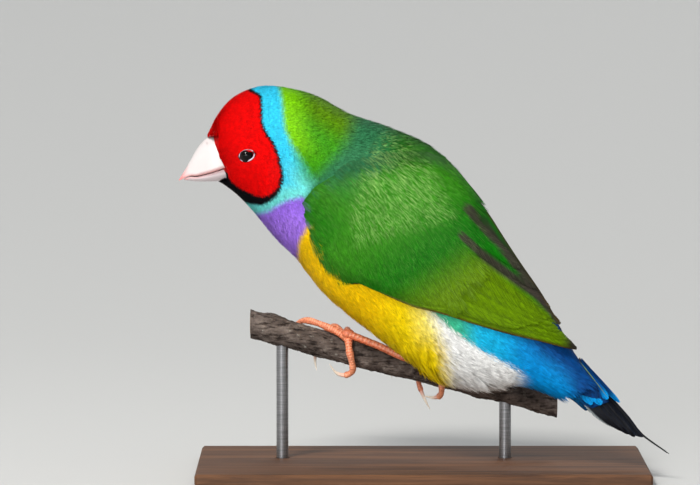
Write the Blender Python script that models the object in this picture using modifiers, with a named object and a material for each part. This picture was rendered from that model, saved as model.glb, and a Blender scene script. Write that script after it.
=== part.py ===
"""A red-headed male Gouldian finch at life size, gripping a short cut length of branch on a display stand.

The bird faces -X with its left side towards -Y, and +Z is up. The origin is at the middle of the
underside of the stand's base. Lengths below are millimetres unless a name says otherwise.
"""

import math
import random

import bmesh
import bpy
import numpy as np

MM = 0.001
GAP = 0.3
PART_NAME = "gouldian_finch"

# The profile is drawn as seen from four degrees above the horizon, so a point that is nearer
# to the viewer stands a little higher than it is drawn.
VIEW_RISE = math.tan(math.radians(4.0))

# The back line and the belly line, one pair a station from the bill's root to the tail:
# back x, back height, belly x, belly height, half width.
TRUNK = np.array(
    [
        (-53.5, 84.5, -51.2, 73.2, 4.8),
        (-50.8, 89.8, -49.2, 72.0, 7.0),
        (-46.5, 94.2, -46.0, 69.5, 8.9),
        (-40.0, 96.6, -43.0, 66.5, 10.3),
        (-33.0, 96.0, -40.0, 63.0, 11.6),
        (-26.0, 93.9, -36.0, 58.2, 13.2),
        (-18.2, 89.6, -31.5, 54.0, 15.0),
        (-7.5, 85.8, -28.2, 49.8, 16.6),
        (2.0, 81.2, -23.5, 44.2, 17.4),
        (10.2, 73.5, -15.0, 37.2, 17.2),
        (18.8, 62.0, -4.2, 29.2, 15.6),
        (25.5, 52.0, 4.5, 24.6, 12.8),
        (32.0, 42.0, 14.5, 22.6, 9.8),
        (38.2, 30.8, 24.5, 22.4, 7.2),
        (43.8, 23.2, 34.5, 18.7, 5.4),
        (47.0, 19.0, 39.5, 15.0, 4.2),
    ]
)
SECTION_POWER = 2.15
NECK_BEND_X = -44.0
YAW_SLOPE = math.tan(math.radians(12.0))
YAW_SOFTENING = 12.0

# Where the trunk is parted, as station numbers, and the sides and steps of each length.
TRUNK_PARTS = {
    "head": (0.0, 3.4, 14),
    "neck": (3.4, 5.2, 6),
    "torso": (5.2, 10.6, 15),
    "rump": (10.6, 13.2, 8),
}
TRUNK_SIDES = 24

# The folded wing lies in its own frame on the profile: a runs along it, h across it. It is lifted
# off the trunk, laid flatter than the trunk's side, and closes on it again towards the tip.
WING_ORIGIN = (-10.5, 61.8)
WING_SLOPE = math.radians(38.5)
WING_LIFT = 1.6
WING_FLATNESS = 0.86
WING_CLOSING = 0.09
# The wing's lower and upper edges: a, then h at each of them.
WING_EDGES = np.array(
    [
        (-19.0, -7.4, -3.0),
        (-15.5, -10.6, 6.0),
        (-10.0, -14.2, 13.0),
        (-3.4, -15.8, 19.0),
        (3.0, -14.9, 22.6),
        (10.4, -13.1, 21.8),
        (18.3, -10.9, 19.9),
        (25.3, -7.8, 17.5),
        (32.7, -5.0, 15.1),
        (41.0, -1.6, 12.6),
        (49.0, 2.2, 9.6),
        (54.5, 4.6, 7.9),
        (57.2, 6.1, 6.9),
    ]
)
WING_THICK_ROOT = 2.6
WING_THICK_TIP = 2.0
WING_RIM = 0.3
WING_CORE_END = 45.0
WING_CORE_INSET = 1.0
WING_STACK = 0.12
WING_SEED = 5
# A vane thins towards its tip, its edges fall a little below its middle, and its width grows from
# the root's share of the whole to the full width over its first part, then closes to the tip's.
VANE_THICK = 0.55
VANE_THINNING = 0.35
VANE_EDGE_FALL = 0.12
VANE_ROOT_SHARE = 0.62
VANE_WIDEST_AT = 0.55
VANE_TIP_SHARE = 0.12
WING_FEATHER_BLUNTNESS = 3.0

# The wing's feathers, tier by tier from the lowest: how many, then for the first and the last of
# them the root (a, h) and the tip (a, h), the width, how high the root's and the tip's outer face
# stand off the wing, how much the lower edge stands over the upper, how far the tips' row bows
# out in its middle, and the number of steps along a vane.
WING_TIERS = {
    "primary": (
        5, (2.0, -10.4), (57.0, 6.0), (7.0, -4.6), (47.0, 7.2), 6.4, -1.55, 0.3, 0.35, 2.0, 5,
    ),
    "secondary": (
        4, (9.0, -5.0), (43.0, 2.6), (10.0, 3.2), (45.5, 7.4), 6.6, -1.45, 0.65, 0.35, 0.0, 4,
    ),
    "tertial": (
        3, (9.0, 5.4), (49.0, 8.6), (9.0, 13.8), (37.5, 13.2), 7.6, -1.15, 0.95, 0.35, 1.5, 5,
    ),
    "primary_covert": (
        2, (-3.0, -12.6), (27.0, -6.2), (0.0, -10.4), (22.0, -5.6), 4.2, -1.25, 0.6, 0.2, 0.0, 4,
    ),
    "greater_covert": (
        5, (3.0, -9.6), (25.5, -3.8), (-2.0, 13.0), (13.0, 16.2), 7.4, -1.15, 1.1, 0.35, 1.5, 4,
    ),
    "median_covert": (
        4, (-6.0, -11.0), (13.0, -8.0), (-9.0, 9.0), (4.0, 14.0), 8.6, -0.85, 1.25, 0.35, 3.0, 4,
    ),
}

BILL_ROOT_X = -48.6
CULMEN = np.array(
    [
        (-60.7, 73.3, 0.25),
        (-59.3, 75.6, 1.1),
        (-58.0, 77.9, 1.85),
        (-56.8, 80.1, 2.55),
        (-55.5, 82.0, 3.2),
        (-54.2, 83.4, 3.7),
        (-53.0, 84.1, 4.05),
        (-51.0, 84.4, 4.3),
        (-48.6, 84.4, 4.3),
    ]
)
MOUTH = np.array([(-60.7, 73.0), (-58.0, 74.2), (-56.2, 74.3), (-53.5, 75.0), (-51.5, 75.6), (-48.6, 76.6)])
CHIN = np.array([(-59.3, 73.3), (-58.0, 73.1), (-56.0, 72.9), (-53.5, 72.9), (-51.0, 73.0), (-48.6, 73.4)])
LOWER_BILL_SHARE = 0.86
BILL_STEPS = 12
# A nostril's place along the bill, out from its middle and up, and its radius.
NOSTRIL = (-53.4, 2.52, 82.3, 0.42)

EYE_CENTRE = (-43.5, 79.2)
EYE_RADIUS = 2.0
EYE_SHOW = 0.6
LID_LENGTH = 4.5
LID_HEIGHT = 3.7
LID_RADIUS = 0.45
LID_TILT = math.radians(16.0)

PERCH_RADIUS = 3.6
PERCH_Y = 5.0
PERCH_Z_AT_ORIGIN = 25.5
PERCH_SLOPE = -0.262
PERCH_FROM_X = -43.0
PERCH_TO_X = 34.0
PERCH_KNOTS = ((-37.0, 0.35), (14.0, 0.3), (30.0, 0.25))

BASE_SIZE = (112.0, 64.0, 3.0)
BASE_CORNER = 0.6
ROD_RADIUS = 1.5
ROD_X = {"stand_rod_front": -35.0, "stand_rod_rear": 21.0}
SOCKET_DEPTH = 1.4

TOE_RADIUS = 1.05
HALLUX_RADIUS = 1.15
CLAW_RADIUS = 0.62
TOE_TAPER = 0.26
TOE_PADS = 0.07
TOE_RINGS = 8
CLAW_TAPER = 0.86
CLAW_RINGS = 7
TARSUS_RADIUS = 1.05
PALM_RADII = (1.65, 1.3, 1.3)

# Each digit is a path round the perch: x, turn round the perch in degrees from its top
# (far side positive, near side negative) and height over its bark, then the claw's length.
DIGITS = {
    "left": {
        "hallux": (((-18.4, -52, 1.4), (-18.2, -82, 1.45), (-17.6, -112, 1.6), (-17.4, -140, 2.3),
                    (-19.2, -156, 3.1), (-21.4, -152, 3.3), (-23.2, -132, 2.6)), 5.6),
        "toe_inner": (((-18.6, -50, 1.4), (-20.6, -18, 1.4), (-22.6, 22, 1.35), (-24.4, 66, 1.35),
                       (-25.8, 108, 1.5), (-26.8, 142, 2.0), (-26.4, 176, 3.6)), 5.4),
        "toe_middle": (((-18.6, -50, 1.4), (-21.8, -30, 1.4), (-25.4, -10, 1.35), (-28.6, 14, 1.3),
                        (-30.8, 46, 1.3), (-31.8, 82, 1.6), (-31.4, 112, 2.1)), 4.6),
        "toe_outer": (((-18.4, -48, 1.4), (-18.6, -10, 1.4), (-18.8, 34, 1.35), (-19.0, 76, 1.35),
                       (-19.2, 112, 1.6), (-19.6, 140, 2.3)), 4.4),
    },
    "right": {
        "hallux": (((3.6, -6, 1.7), (4.4, -40, 1.5), (4.9, -80, 1.45), (5.0, -122, 1.6),
                    (4.6, -158, 2.3), (2.4, -186, 3.2), (0.2, -196, 3.6)), 5.4),
        "toe_inner": (((3.4, -2, 1.7), (1.6, 26, 1.4), (0.0, 62, 1.35), (-0.8, 104, 1.45),
                       (-0.6, 140, 2.2), (0.8, 164, 4.4), (2.2, 170, 6.6)), 5.2),
        "toe_middle": (((3.4, -2, 1.7), (-0.4, 10, 1.4), (-3.8, 24, 1.35), (-6.4, 50, 1.3),
                        (-7.6, 84, 1.35), (-7.8, 118, 1.7), (-7.4, 142, 2.2)), 4.6),
        "toe_outer": (((3.6, 0, 1.7), (4.2, 34, 1.4), (4.6, 72, 1.35), (4.8, 106, 1.5),
                       (4.8, 136, 2.0)), 4.4),
    },
}
# The shank runs from the toes' root up into the belly's feathers.
TARSUS = {
    "left": ((-18.5, 1.0, 34.6), (-11.0, -1.8, 31.9), (-3.6, -3.6, 28.9), (0.2, -4.4, 30.4)),
    "right": ((3.6, 4.6, 30.0), (8.0, 4.6, 31.6), (12.0, 2.6, 34.4)),
}

# The tail's middle line: x, height, how tall and how wide its folded feathers stand.
TAIL_START = 13.2
TAIL_LEAN = math.radians(39.5)
TAIL_LINE = np.array(
    [
        (39.4, 22.0, 10.2, 7.4),
        (44.5, 16.9, 8.1, 6.2),
        (49.5, 13.0, 5.1, 4.8),
        (52.5, 10.6, 2.7, 3.6),
        (54.6, 9.1, 1.4, 2.6),
        (57.6, 6.9, 1.0, 1.7),
        (60.4, 5.0, 0.6, 0.8),
    ]
)
TAIL_SIDES = 16
TAIL_CORE_END = 15.5
TAIL_CORE_INSET = 0.75
TAIL_LEAST_REACH = 1.5
TAIL_TILT = -0.2
TAIL_LAP = 0.06
# One side's tail feathers from the lowest to the middle one, then two coverts: root (u, v), tip,
# width, the outer face's height at root and tip, how blunt the tip is, and the steps along it.
TAIL_FEATHERS = (
    ((-0.5, 8.6), (12.4, 7.0), 4.2, (-1.0, 0.0), 3.0, 4),
    ((-0.5, 7.2), (14.4, 5.9), 4.2, (-1.0, 0.1), 3.0, 4),
    ((-0.5, 5.8), (16.2, 4.8), 4.2, (-1.0, 0.2), 3.0, 4),
    ((-0.5, 4.4), (17.8, 3.6), 4.2, (-1.0, 0.3), 3.0, 4),
    ((-0.5, 2.9), (19.4, 2.2), 4.0, (-1.0, 0.4), 3.0, 5),
    ((-0.5, 1.3), (27.0, 0.7), 3.6, (-1.0, 0.4), 0.9, 8),
    ((-0.5, 5.6), (8.4, 5.6), 5.0, (-0.9, 0.8), 3.0, 4),
    ((-0.5, 2.4), (10.6, 2.6), 5.0, (-0.9, 0.9), 3.0, 4),
)

COLOURS = {
    "head": (0.62, 0.03, 0.02),
    "neck": (0.10, 0.42, 0.40),
    "torso": (0.80, 0.50, 0.05),
    "rump": (0.85, 0.86, 0.88),
    "tail": (0.02, 0.02, 0.03),
    "wing": (0.16, 0.24, 0.05),
    "eye": (0.01, 0.008, 0.008),
    "bill": (0.82, 0.74, 0.70),
    "leg": (0.78, 0.42, 0.32),
    "claw": (0.74, 0.66, 0.60),
    "perch": (0.16, 0.14, 0.12),
    "stand": (0.30, 0.28, 0.26),
}


def clear_scene():
    for old in list(bpy.data.objects):
        bpy.data.objects.remove(old, do_unlink=True)


def make_collection(name, hidden=False):
    made = bpy.data.collections.new(name)
    bpy.context.scene.collection.children.link(made)
    made.hide_render = hidden
    return made


def make_material(name, colour, roughness=0.7, metallic=0.0):
    made = bpy.data.materials.new(name)
    made.use_nodes = True
    shader = made.node_tree.nodes["Principled BSDF"]
    shader.inputs["Base Color"].default_value = (*colour, 1.0)
    shader.inputs["Roughness"].default_value = roughness
    shader.inputs["Metallic"].default_value = metallic
    return made


def mesh_object(name, points, faces, collection):
    """A mesh object from points in millimetres, with its faces turned outwards."""
    mesh = bpy.data.meshes.new(name)
    mesh.from_pydata((np.asarray(points) * MM).tolist(), [], faces)
    work = bmesh.new()
    work.from_mesh(mesh)
    bmesh.ops.recalc_face_normals(work, faces=work.faces)
    work.to_mesh(mesh)
    work.free()
    made = bpy.data.objects.new(name, mesh)
    collection.objects.link(made)
    return made


def finish(obj, colour, roughness=0.7, metallic=0.0):
    """Gives a finished node its own material and smooth shading with crisp edges."""
    obj.data.materials.clear()
    obj.data.materials.append(make_material(obj.name, COLOURS[colour], roughness, metallic))
    obj.data.shade_smooth()
    obj.data.set_sharp_from_angle(angle=math.radians(40.0))
    return obj


def loft(rings):
    """Points and triangles of a closed tube through like rings, with flat ends."""
    rings = np.asarray(rings)
    count, sides = rings.shape[:2]
    faces = [tuple(range(sides)), tuple(range((count - 1) * sides, count * sides))]
    for ring in range(count - 1):
        for side in range(sides):
            low = ring * sides + side
            low_next = ring * sides + (side + 1) % sides
            faces.append((low, low_next, low_next + sides))
            faces.append((low, low_next + sides, low + sides))
    return rings.reshape(-1, 3), faces


def spline(rows, at):
    """Catmull-Rom values of a table's columns at fractional row numbers."""
    rows = np.asarray(rows, float)
    at = np.atleast_1d(np.asarray(at, float))
    padded = np.vstack([2 * rows[0] - rows[1], rows, 2 * rows[-1] - rows[-2]])
    start = np.clip(np.floor(at).astype(int), 0, len(rows) - 2)
    t = (at - start)[:, None]
    p0, p1, p2, p3 = (padded[start + shift] for shift in range(4))
    return 0.5 * (
        2 * p1 + (p2 - p0) * t + (2 * p0 - 5 * p1 + 4 * p2 - p3) * t**2 + (3 * p1 - p0 - 3 * p2 + p3) * t**3
    )


def by_first_column(rows, x):
    """The other columns of a table at given values of its first, smoothly."""
    fine = spline(rows, np.linspace(0, len(rows) - 1, 12 * len(rows)))
    return np.column_stack([np.interp(x, fine[:, 0], fine[:, k]) for k in range(1, fine.shape[1])])


def middle_y(x):
    """The trunk's middle plane: straight at the head, then yawed towards the viewer."""
    past = np.asarray(x, float) - NECK_BEND_X
    return -YAW_SLOPE * YAW_SOFTENING * np.logaddexp(0.0, past / YAW_SOFTENING - 1.0)


def placed(x, height, y):
    """Points in space of places in the profile, given how far they lie across it."""
    x, height, y = np.broadcast_arrays(x, height, y)
    return np.stack([x, y, height - y * VIEW_RISE], axis=-1)


def trunk_section(station, sides=TRUNK_SIDES):
    """One ring of the trunk at a station number."""
    back_x, back_z, belly_x, belly_z, half_width = spline(TRUNK, station)[0]
    turn = np.linspace(0, 2 * math.pi, sides, endpoint=False)
    up = np.sign(np.cos(turn)) * np.abs(np.cos(turn)) ** (2 / SECTION_POWER)
    out = np.sign(np.sin(turn)) * np.abs(np.sin(turn)) ** (2 / SECTION_POWER)
    x = (back_x + belly_x) / 2 + up * (back_x - belly_x) / 2
    height = (back_z + belly_z) / 2 + up * (back_z - belly_z) / 2
    return placed(x, height, middle_y(x) + out * half_width)


def station_of(x, height):
    """The station number and the place from belly (-1) to back (1) of points of the profile."""
    x = np.atleast_1d(np.asarray(x, float))
    height = np.atleast_1d(np.asarray(height, float))
    numbers = np.linspace(0, len(TRUNK) - 1, 600)
    back_x, back_z, belly_x, belly_z, _ = spline(TRUNK, numbers).T
    run = (back_x - belly_x)[:, None], (back_z - belly_z)[:, None]
    off = x - belly_x[:, None], height - belly_z[:, None]
    side = run[0] * off[1] - run[1] * off[0]
    last = np.clip((side < 0).sum(axis=0), 1, len(numbers) - 1)
    column = np.arange(len(x))
    before, after = side[last - 1, column], side[last, column]
    share = np.clip(before / (before - after + 1e-12), 0, 1)
    station = numbers[last - 1] + share * (numbers[last] - numbers[last - 1])
    row = spline(TRUNK, station)
    length = (row[:, 0] - row[:, 2]) ** 2 + (row[:, 1] - row[:, 3]) ** 2
    along = (x - row[:, 2]) * (row[:, 0] - row[:, 2]) + (height - row[:, 3]) * (row[:, 1] - row[:, 3])
    return station, 2 * along / length - 1


def trunk_parts(collection):
    """The head, neck, torso and rump: one loft, parted by cuts as wide as the gap."""
    made = {}
    for name, (first, last, steps) in TRUNK_PARTS.items():
        start = first + station_gap(first) if first > 0 else first
        rings = [trunk_section(station) for station in np.linspace(start, last, steps + 1)]
        made[name] = mesh_object(name, *loft(rings), collection)
    return made


def wing_place(a, h):
    """The profile place of a point given along and across the wing."""
    x = WING_ORIGIN[0] + a * math.cos(WING_SLOPE) + h * math.sin(WING_SLOPE)
    height = WING_ORIGIN[1] - a * math.sin(WING_SLOPE) + h * math.cos(WING_SLOPE)
    return x, height


def wing_surface(a, h, out, side):
    """Points over the wing's outer face, out millimetres off it. side is -1 left and 1 right."""
    a, h, out = (np.asarray(value, float) for value in np.broadcast_arrays(a, h, out))
    x, height = wing_place(a.ravel(), h.ravel())
    station, level = station_of(x, height)
    half_width = spline(TRUNK, station)[:, 4] + WING_LIFT
    flatness = WING_FLATNESS + WING_CLOSING * np.clip((a.ravel() - 20.0) / 30.0, 0, 1)
    level = np.clip(np.abs(flatness * level), 0, 0.97)
    across = half_width * (1 - level**SECTION_POWER) ** (1 / SECTION_POWER)
    y = side * (across + out.ravel())
    return placed(x, height, y + middle_y(x)).reshape(*a.shape, 3)


def wing_pad(name, side, collection, grow=0.0, outer=0.0, steps=22, across=9, end=None):
    """The wing's plate between its lower and upper edges, thin towards the tip."""
    a_from = WING_EDGES[0, 0] - grow
    a_to = (WING_EDGES[-1, 0] if end is None else end) + grow
    share = 0.5 - 0.5 * np.cos(np.linspace(0, math.pi, steps))
    rings = []
    for a in a_from + share * (a_to - a_from):
        low, high = by_first_column(WING_EDGES, [a])[0]
        thick = WING_THICK_ROOT + (WING_THICK_TIP - WING_THICK_ROOT) * (a - a_from) / (a_to - a_from)
        level = np.linspace(0, 1, across)
        h = low - grow + level * (high - low + 2 * grow)
        rim = 0.0 if grow else WING_RIM * (1 - np.sin(math.pi * level) ** 0.5)
        inset = outer if end is None else -WING_CORE_INSET * min(max((a + 4.0) / 16.0, 0.0), 1.0)
        over = wing_surface(np.full(across, a), h, inset - rim, side)
        under = wing_surface(np.full(across, a), h, rim - thick - grow, side)
        rings.append(np.vstack([over, under[::-1]]))
    return mesh_object(name, *loft(rings), collection)


def vane(name, surface, root, tip, width, rise, tilt, bluntness, steps, collection):
    """One feather: a thin plate that follows a surface from its root to its closing tip.

    surface(u, v, out) gives points, root and tip are places (u, v), rise holds the height of the
    outer face at the root and at the tip, and the edge on the side of lower v stands up by tilt.
    """
    root = np.array(root)
    run = np.array(tip) - root
    length = np.hypot(*run)
    beside = np.array([-run[1], run[0]]) / length
    share = np.linspace(0, 1, steps)
    widening = np.sin(np.minimum(share / VANE_WIDEST_AT, 1) * math.pi / 2)
    closing = np.clip(1 - share**bluntness, 0, 1) ** 0.5
    half = width / 2 * (VANE_ROOT_SHARE + (1 - VANE_ROOT_SHARE) * widening)
    half *= closing * (1 - VANE_TIP_SHARE) + VANE_TIP_SHARE
    places = root + share[:, None] * run
    outer_rows = []
    inner_rows = []
    thick = VANE_THICK * (1 - VANE_THINNING * share)
    level = rise[0] + (rise[1] - rise[0]) * share
    for edge in (-1, 0, 1):
        spots = places + edge * half[:, None] * beside
        out = level - edge * tilt * half / half.max() - VANE_EDGE_FALL * abs(edge)
        outer_rows.append(surface(spots[:, 0], spots[:, 1], out))
        inner_rows.append(surface(spots[:, 0], spots[:, 1], out - thick))
    grid = np.stack(outer_rows + inner_rows[::-1], axis=1)
    return mesh_object(name, *ribbon(grid), collection)


def ribbon(grid):
    """Points and triangles of a closed plate whose rings run over its outer and inner face."""
    count, sides = grid.shape[:2]
    half = sides // 2
    faces = []
    for ring in range(count - 1):
        low = ring * sides
        for side in range(half - 1):
            over = low + side
            under = low + sides - 1 - side
            faces.append((over, over + 1, over + 1 + sides))
            faces.append((over, over + 1 + sides, over + sides))
            faces.append((under, under - 1 + sides, under - 1))
            faces.append((under, under + sides, under - 1 + sides))
        for first, second in ((half - 1, half), (sides - 1, 0)):
            faces.append((low + first, low + second, low + second + sides))
            faces.append((low + first, low + second + sides, low + first + sides))
    for low in (0, (count - 1) * sides):
        for side in range(half - 1):
            over = low + side
            under = low + sides - 1 - side
            faces.append((over, under, under - 1, over + 1))
    return grid.reshape(-1, 3), faces


def wing_vanes(side, collection):
    """The feathers of one wing, tier by tier."""
    made = []
    word = "left" if side < 0 else "right"
    draw = random.Random(WING_SEED)

    def surface(a, h, out):
        return wing_surface(a, h, out, side)

    for tier, row in WING_TIERS.items():
        count, root_a, tip_a, root_b, tip_b, width, low, high, tilt, bow, steps = row
        for index in range(count):
            share = index / (count - 1)
            root = np.array(root_a) + share * (np.array(root_b) - np.array(root_a))
            tip = np.array(tip_a) + share * (np.array(tip_b) - np.array(tip_a))
            tip[0] += bow * math.sin(math.pi * share) + draw.uniform(-0.4, 0.4)
            stack = WING_STACK * index + draw.uniform(-0.03, 0.03)
            rise = (low + stack, high + stack)
            name = f"{tier}_{word}_{index}"
            blunt = WING_FEATHER_BLUNTNESS
            made.append(vane(name, surface, root, tip, width, rise, tilt, blunt, steps, collection))
    return made


def feathered_wing(name, side, collection):
    """A folded wing: its fleshy core with every tier of feathers fused to it."""
    core = wing_pad(name, side, collection, steps=14, across=6, end=WING_CORE_END)
    fuse(core, wing_vanes(side, collection), "MANIFOLD")
    return core


def bill_ring(x, low, high, half_width, upper, grow=0.0, sides=14):
    """A section of one half of the bill: flat at the mouth, arched away from it."""
    turn = np.linspace(0, math.pi, sides)
    arch = np.abs(np.sin(turn)) ** (0.9 if upper else 0.8)
    across = np.sign(np.cos(turn)) * np.abs(np.cos(turn)) ** 0.9 * (half_width + grow)
    rise = (high - low + grow) * arch
    z = low + rise if upper else high - rise
    return np.column_stack([np.full(sides, x), middle_y(x) + across, z])


def bill_half(name, upper, collection, grow=0.0):
    """The upper or lower half of the bill, from its tip into the feathers."""
    table = CULMEN if upper else CHIN
    places = np.linspace(table[0, 0], BILL_ROOT_X, BILL_STEPS)
    if grow:
        places = np.append(places, BILL_ROOT_X + GAP)
    rings = []
    for x in places:
        mouth = by_first_column(MOUTH, [x])[0, 0]
        high, half_width = by_first_column(CULMEN, [x])[0]
        if upper:
            rings.append(bill_ring(x, mouth + GAP / 2 - grow, high, half_width, True, grow))
            continue
        high = mouth - GAP / 2
        low = min(by_first_column(CHIN, [x])[0, 0], high - GAP / 2)
        rings.append(bill_ring(x, low - grow, high + grow, half_width * LOWER_BILL_SHARE, False, grow))
    return mesh_object(name, *loft(rings), collection)


def ball(name, centre, radii, collection, segments=14, rings=9):
    """An ellipsoid from a sphere primitive."""
    mesh = bpy.data.meshes.new(name)
    work = bmesh.new()
    bmesh.ops.create_uvsphere(work, u_segments=segments, v_segments=rings, radius=1.0)
    bmesh.ops.scale(work, vec=[radius * MM for radius in radii], verts=work.verts)
    bmesh.ops.translate(work, vec=[value * MM for value in centre], verts=work.verts)
    work.to_mesh(mesh)
    work.free()
    made = bpy.data.objects.new(name, mesh)
    collection.objects.link(made)
    return made


def nostril(name, side, collection):
    """A small round hollow's cutter, in the side of the upper bill."""
    x, out, height, radius = NOSTRIL
    centre = (x, middle_y(x) + side * out, height)
    return ball(name, centre, (radius,) * 3, collection, 10, 6)


def cylinder(name, radius, foot, top, collection, sides=20):
    """An upright cylinder between two heights over a point."""
    mesh = bpy.data.meshes.new(name)
    work = bmesh.new()
    bmesh.ops.create_cone(
        work,
        cap_ends=True,
        segments=sides,
        radius1=radius * MM,
        radius2=radius * MM,
        depth=(top - foot[2]) * MM,
    )
    middle = (foot[0] * MM, foot[1] * MM, (top + foot[2]) / 2 * MM)
    bmesh.ops.translate(work, vec=middle, verts=work.verts)
    work.to_mesh(mesh)
    work.free()
    made = bpy.data.objects.new(name, mesh)
    collection.objects.link(made)
    return made


def tube(name, path, radii, collection, roundness=2):
    """A bevelled curve along a path with a radius at each point, made into one closed mesh."""
    curve = bpy.data.curves.new(name, "CURVE")
    curve.dimensions = "3D"
    curve.bevel_depth = MM
    curve.bevel_resolution = roundness
    curve.use_fill_caps = True
    line = curve.splines.new("POLY")
    line.points.add(len(path) - 1)
    for point, place, radius in zip(line.points, path, radii):
        point.co = (*(np.asarray(place) * MM), 1.0)
        point.radius = radius
    guide = bpy.data.objects.new(name + "_line", curve)
    collection.objects.link(guide)
    bpy.context.view_layer.update()
    graph = bpy.context.evaluated_depsgraph_get()
    mesh = bpy.data.meshes.new_from_object(guide.evaluated_get(graph))
    work = bmesh.new()
    work.from_mesh(mesh)
    bmesh.ops.remove_doubles(work, verts=work.verts, dist=1e-6)
    bmesh.ops.recalc_face_normals(work, faces=work.faces)
    work.to_mesh(mesh)
    work.free()
    mesh.name = name
    made = bpy.data.objects.new(name, mesh)
    collection.objects.link(made)
    bpy.data.objects.remove(guide, do_unlink=True)
    return made


def apply_modifiers(obj):
    """Makes the object's mesh what its modifiers show, and drops them."""
    bpy.context.view_layer.update()
    graph = bpy.context.evaluated_depsgraph_get()
    mesh = bpy.data.meshes.new_from_object(obj.evaluated_get(graph))
    obj.modifiers.clear()
    obj.data = mesh


def keep_largest(obj):
    """Keeps only the object's largest closed surface."""
    work = bmesh.new()
    work.from_mesh(obj.data)
    left = set(work.verts)
    groups = []
    while left:
        group = {left.pop()}
        edge = set(group)
        while edge:
            edge = {link.other_vert(vert) for vert in edge for link in vert.link_edges} - group
            group |= edge
        left -= group
        groups.append(group)
    groups.sort(key=lambda group: sum(face.calc_area() for vert in group for face in vert.link_faces))
    for group in groups[:-1]:
        bmesh.ops.delete(work, geom=list(group), context="VERTS")
    work.to_mesh(obj.data)
    work.free()


def cut(obj, cutters, solver="EXACT"):
    """Takes the cutters' space out of a node."""
    group = bpy.data.collections.new(obj.name + "_cuts")
    for cutter in cutters:
        group.objects.link(cutter)
    modifier = obj.modifiers.new("cuts", "BOOLEAN")
    modifier.operation = "DIFFERENCE"
    modifier.operand_type = "COLLECTION"
    modifier.collection = group
    modifier.solver = solver
    apply_modifiers(obj)
    bpy.data.collections.remove(group)
    keep_largest(obj)


def fuse(obj, pieces, solver="EXACT"):
    """Joins closed pieces to a node in one union, and removes them."""
    group = bpy.data.collections.new(obj.name + "_pieces")
    for piece in pieces:
        group.objects.link(piece)
    modifier = obj.modifiers.new("pieces", "BOOLEAN")
    modifier.operation = "UNION"
    modifier.operand_type = "COLLECTION"
    modifier.collection = group
    modifier.solver = solver
    apply_modifiers(obj)
    for piece in pieces:
        bpy.data.objects.remove(piece, do_unlink=True)
    bpy.data.collections.remove(group)
    keep_largest(obj)


def perch_axis(x):
    """The branch's middle line, with a slight natural bend."""
    bend = 0.3 * np.sin(np.asarray(x) / 13.0)
    return PERCH_Z_AT_ORIGIN + PERCH_SLOPE * x + bend


def perch(name, collection, grow=0.0):
    """The short cut length of branch."""
    x = np.linspace(PERCH_FROM_X - grow, PERCH_TO_X + grow, 16)
    radii = np.full(len(x), PERCH_RADIUS + grow)
    for knot_x, swell in PERCH_KNOTS:
        radii += swell * np.exp(-((x - knot_x) ** 2) / 6.0)
    path = np.column_stack([x, np.full(len(x), PERCH_Y), perch_axis(x)])
    return tube(name, path, radii, collection, roundness=3)


def round_perch(x, turn, height):
    """A point beside the perch, by its turn from the top and its height over the bark."""
    turn = math.radians(turn)
    reach = PERCH_RADIUS + height
    return (x, PERCH_Y + reach * math.sin(turn), perch_axis(x) + reach * math.cos(turn))


def digit_path(ways, count=36):
    """Evenly spaced points along a digit, from its root to the claw's tip."""
    fine = spline(np.array(ways, float), np.linspace(0, len(ways) - 1, 120))
    points = np.array([round_perch(*row) for row in fine])
    run = np.append(0.0, np.cumsum(np.linalg.norm(np.diff(points, axis=0), axis=1)))
    even = np.linspace(0, run[-1], count)
    return np.column_stack([np.interp(even, run, points[:, k]) for k in range(3)]), even


def part_of_path(path, run, start, end, count):
    """Points of a path between two distances along it."""
    even = np.linspace(start, end, count)
    return np.column_stack([np.interp(even, run, path[:, k]) for k in range(3)])


def foot(side, collection):
    """The palm and its four toes as one node, and a claw as a node at each toe's end."""
    toes = []
    claws = []
    for digit, (ways, claw_length) in DIGITS[side].items():
        path, run = digit_path(ways)
        toe_end = run[-1] - claw_length
        thick = HALLUX_RADIUS if digit == "hallux" else TOE_RADIUS
        share = np.linspace(0, 1, TOE_RINGS)
        pads = 1.0 + TOE_PADS * np.cos(share * 6 * math.pi)
        radii = thick * (1.0 - TOE_TAPER * share) * pads
        toe_path = part_of_path(path, run, 0.0, toe_end - GAP, TOE_RINGS)
        toes.append(tube(f"toe_{side}_{digit}", toe_path, radii, collection, roundness=1))
        claw_path = part_of_path(path, run, toe_end, run[-1], CLAW_RINGS)
        taper = CLAW_RADIUS * (1.0 - CLAW_TAPER * np.linspace(0, 1, CLAW_RINGS) ** 1.2)
        claws.append(tube(f"claw_{side}_{digit}", claw_path, taper, collection, roundness=1))
    root = np.array(TARSUS[side][0])
    palm = ball(f"foot_{side}", root, PALM_RADII, collection, 14, 9)
    fuse(palm, toes)
    return palm, claws


def foot_room(side, collection):
    """The space that a palm and its hallux need, grown by the gap."""
    path, run = digit_path(DIGITS[side]["hallux"][0])
    radii = np.full(len(path), HALLUX_RADIUS * (1 + TOE_PADS) + GAP)
    hallux = tube(f"hallux_room_{side}", path, radii, collection)
    palm = ball(f"palm_room_{side}", TARSUS[side][0], np.array(PALM_RADII) + 2 * GAP, collection, 14, 9)
    return [hallux, palm]


def tarsus_path(side):
    """The shank's smooth path, starting clear of the palm."""
    ways = np.array(TARSUS[side], float)
    return spline(ways, np.linspace(0, len(ways) - 1, 8))


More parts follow.
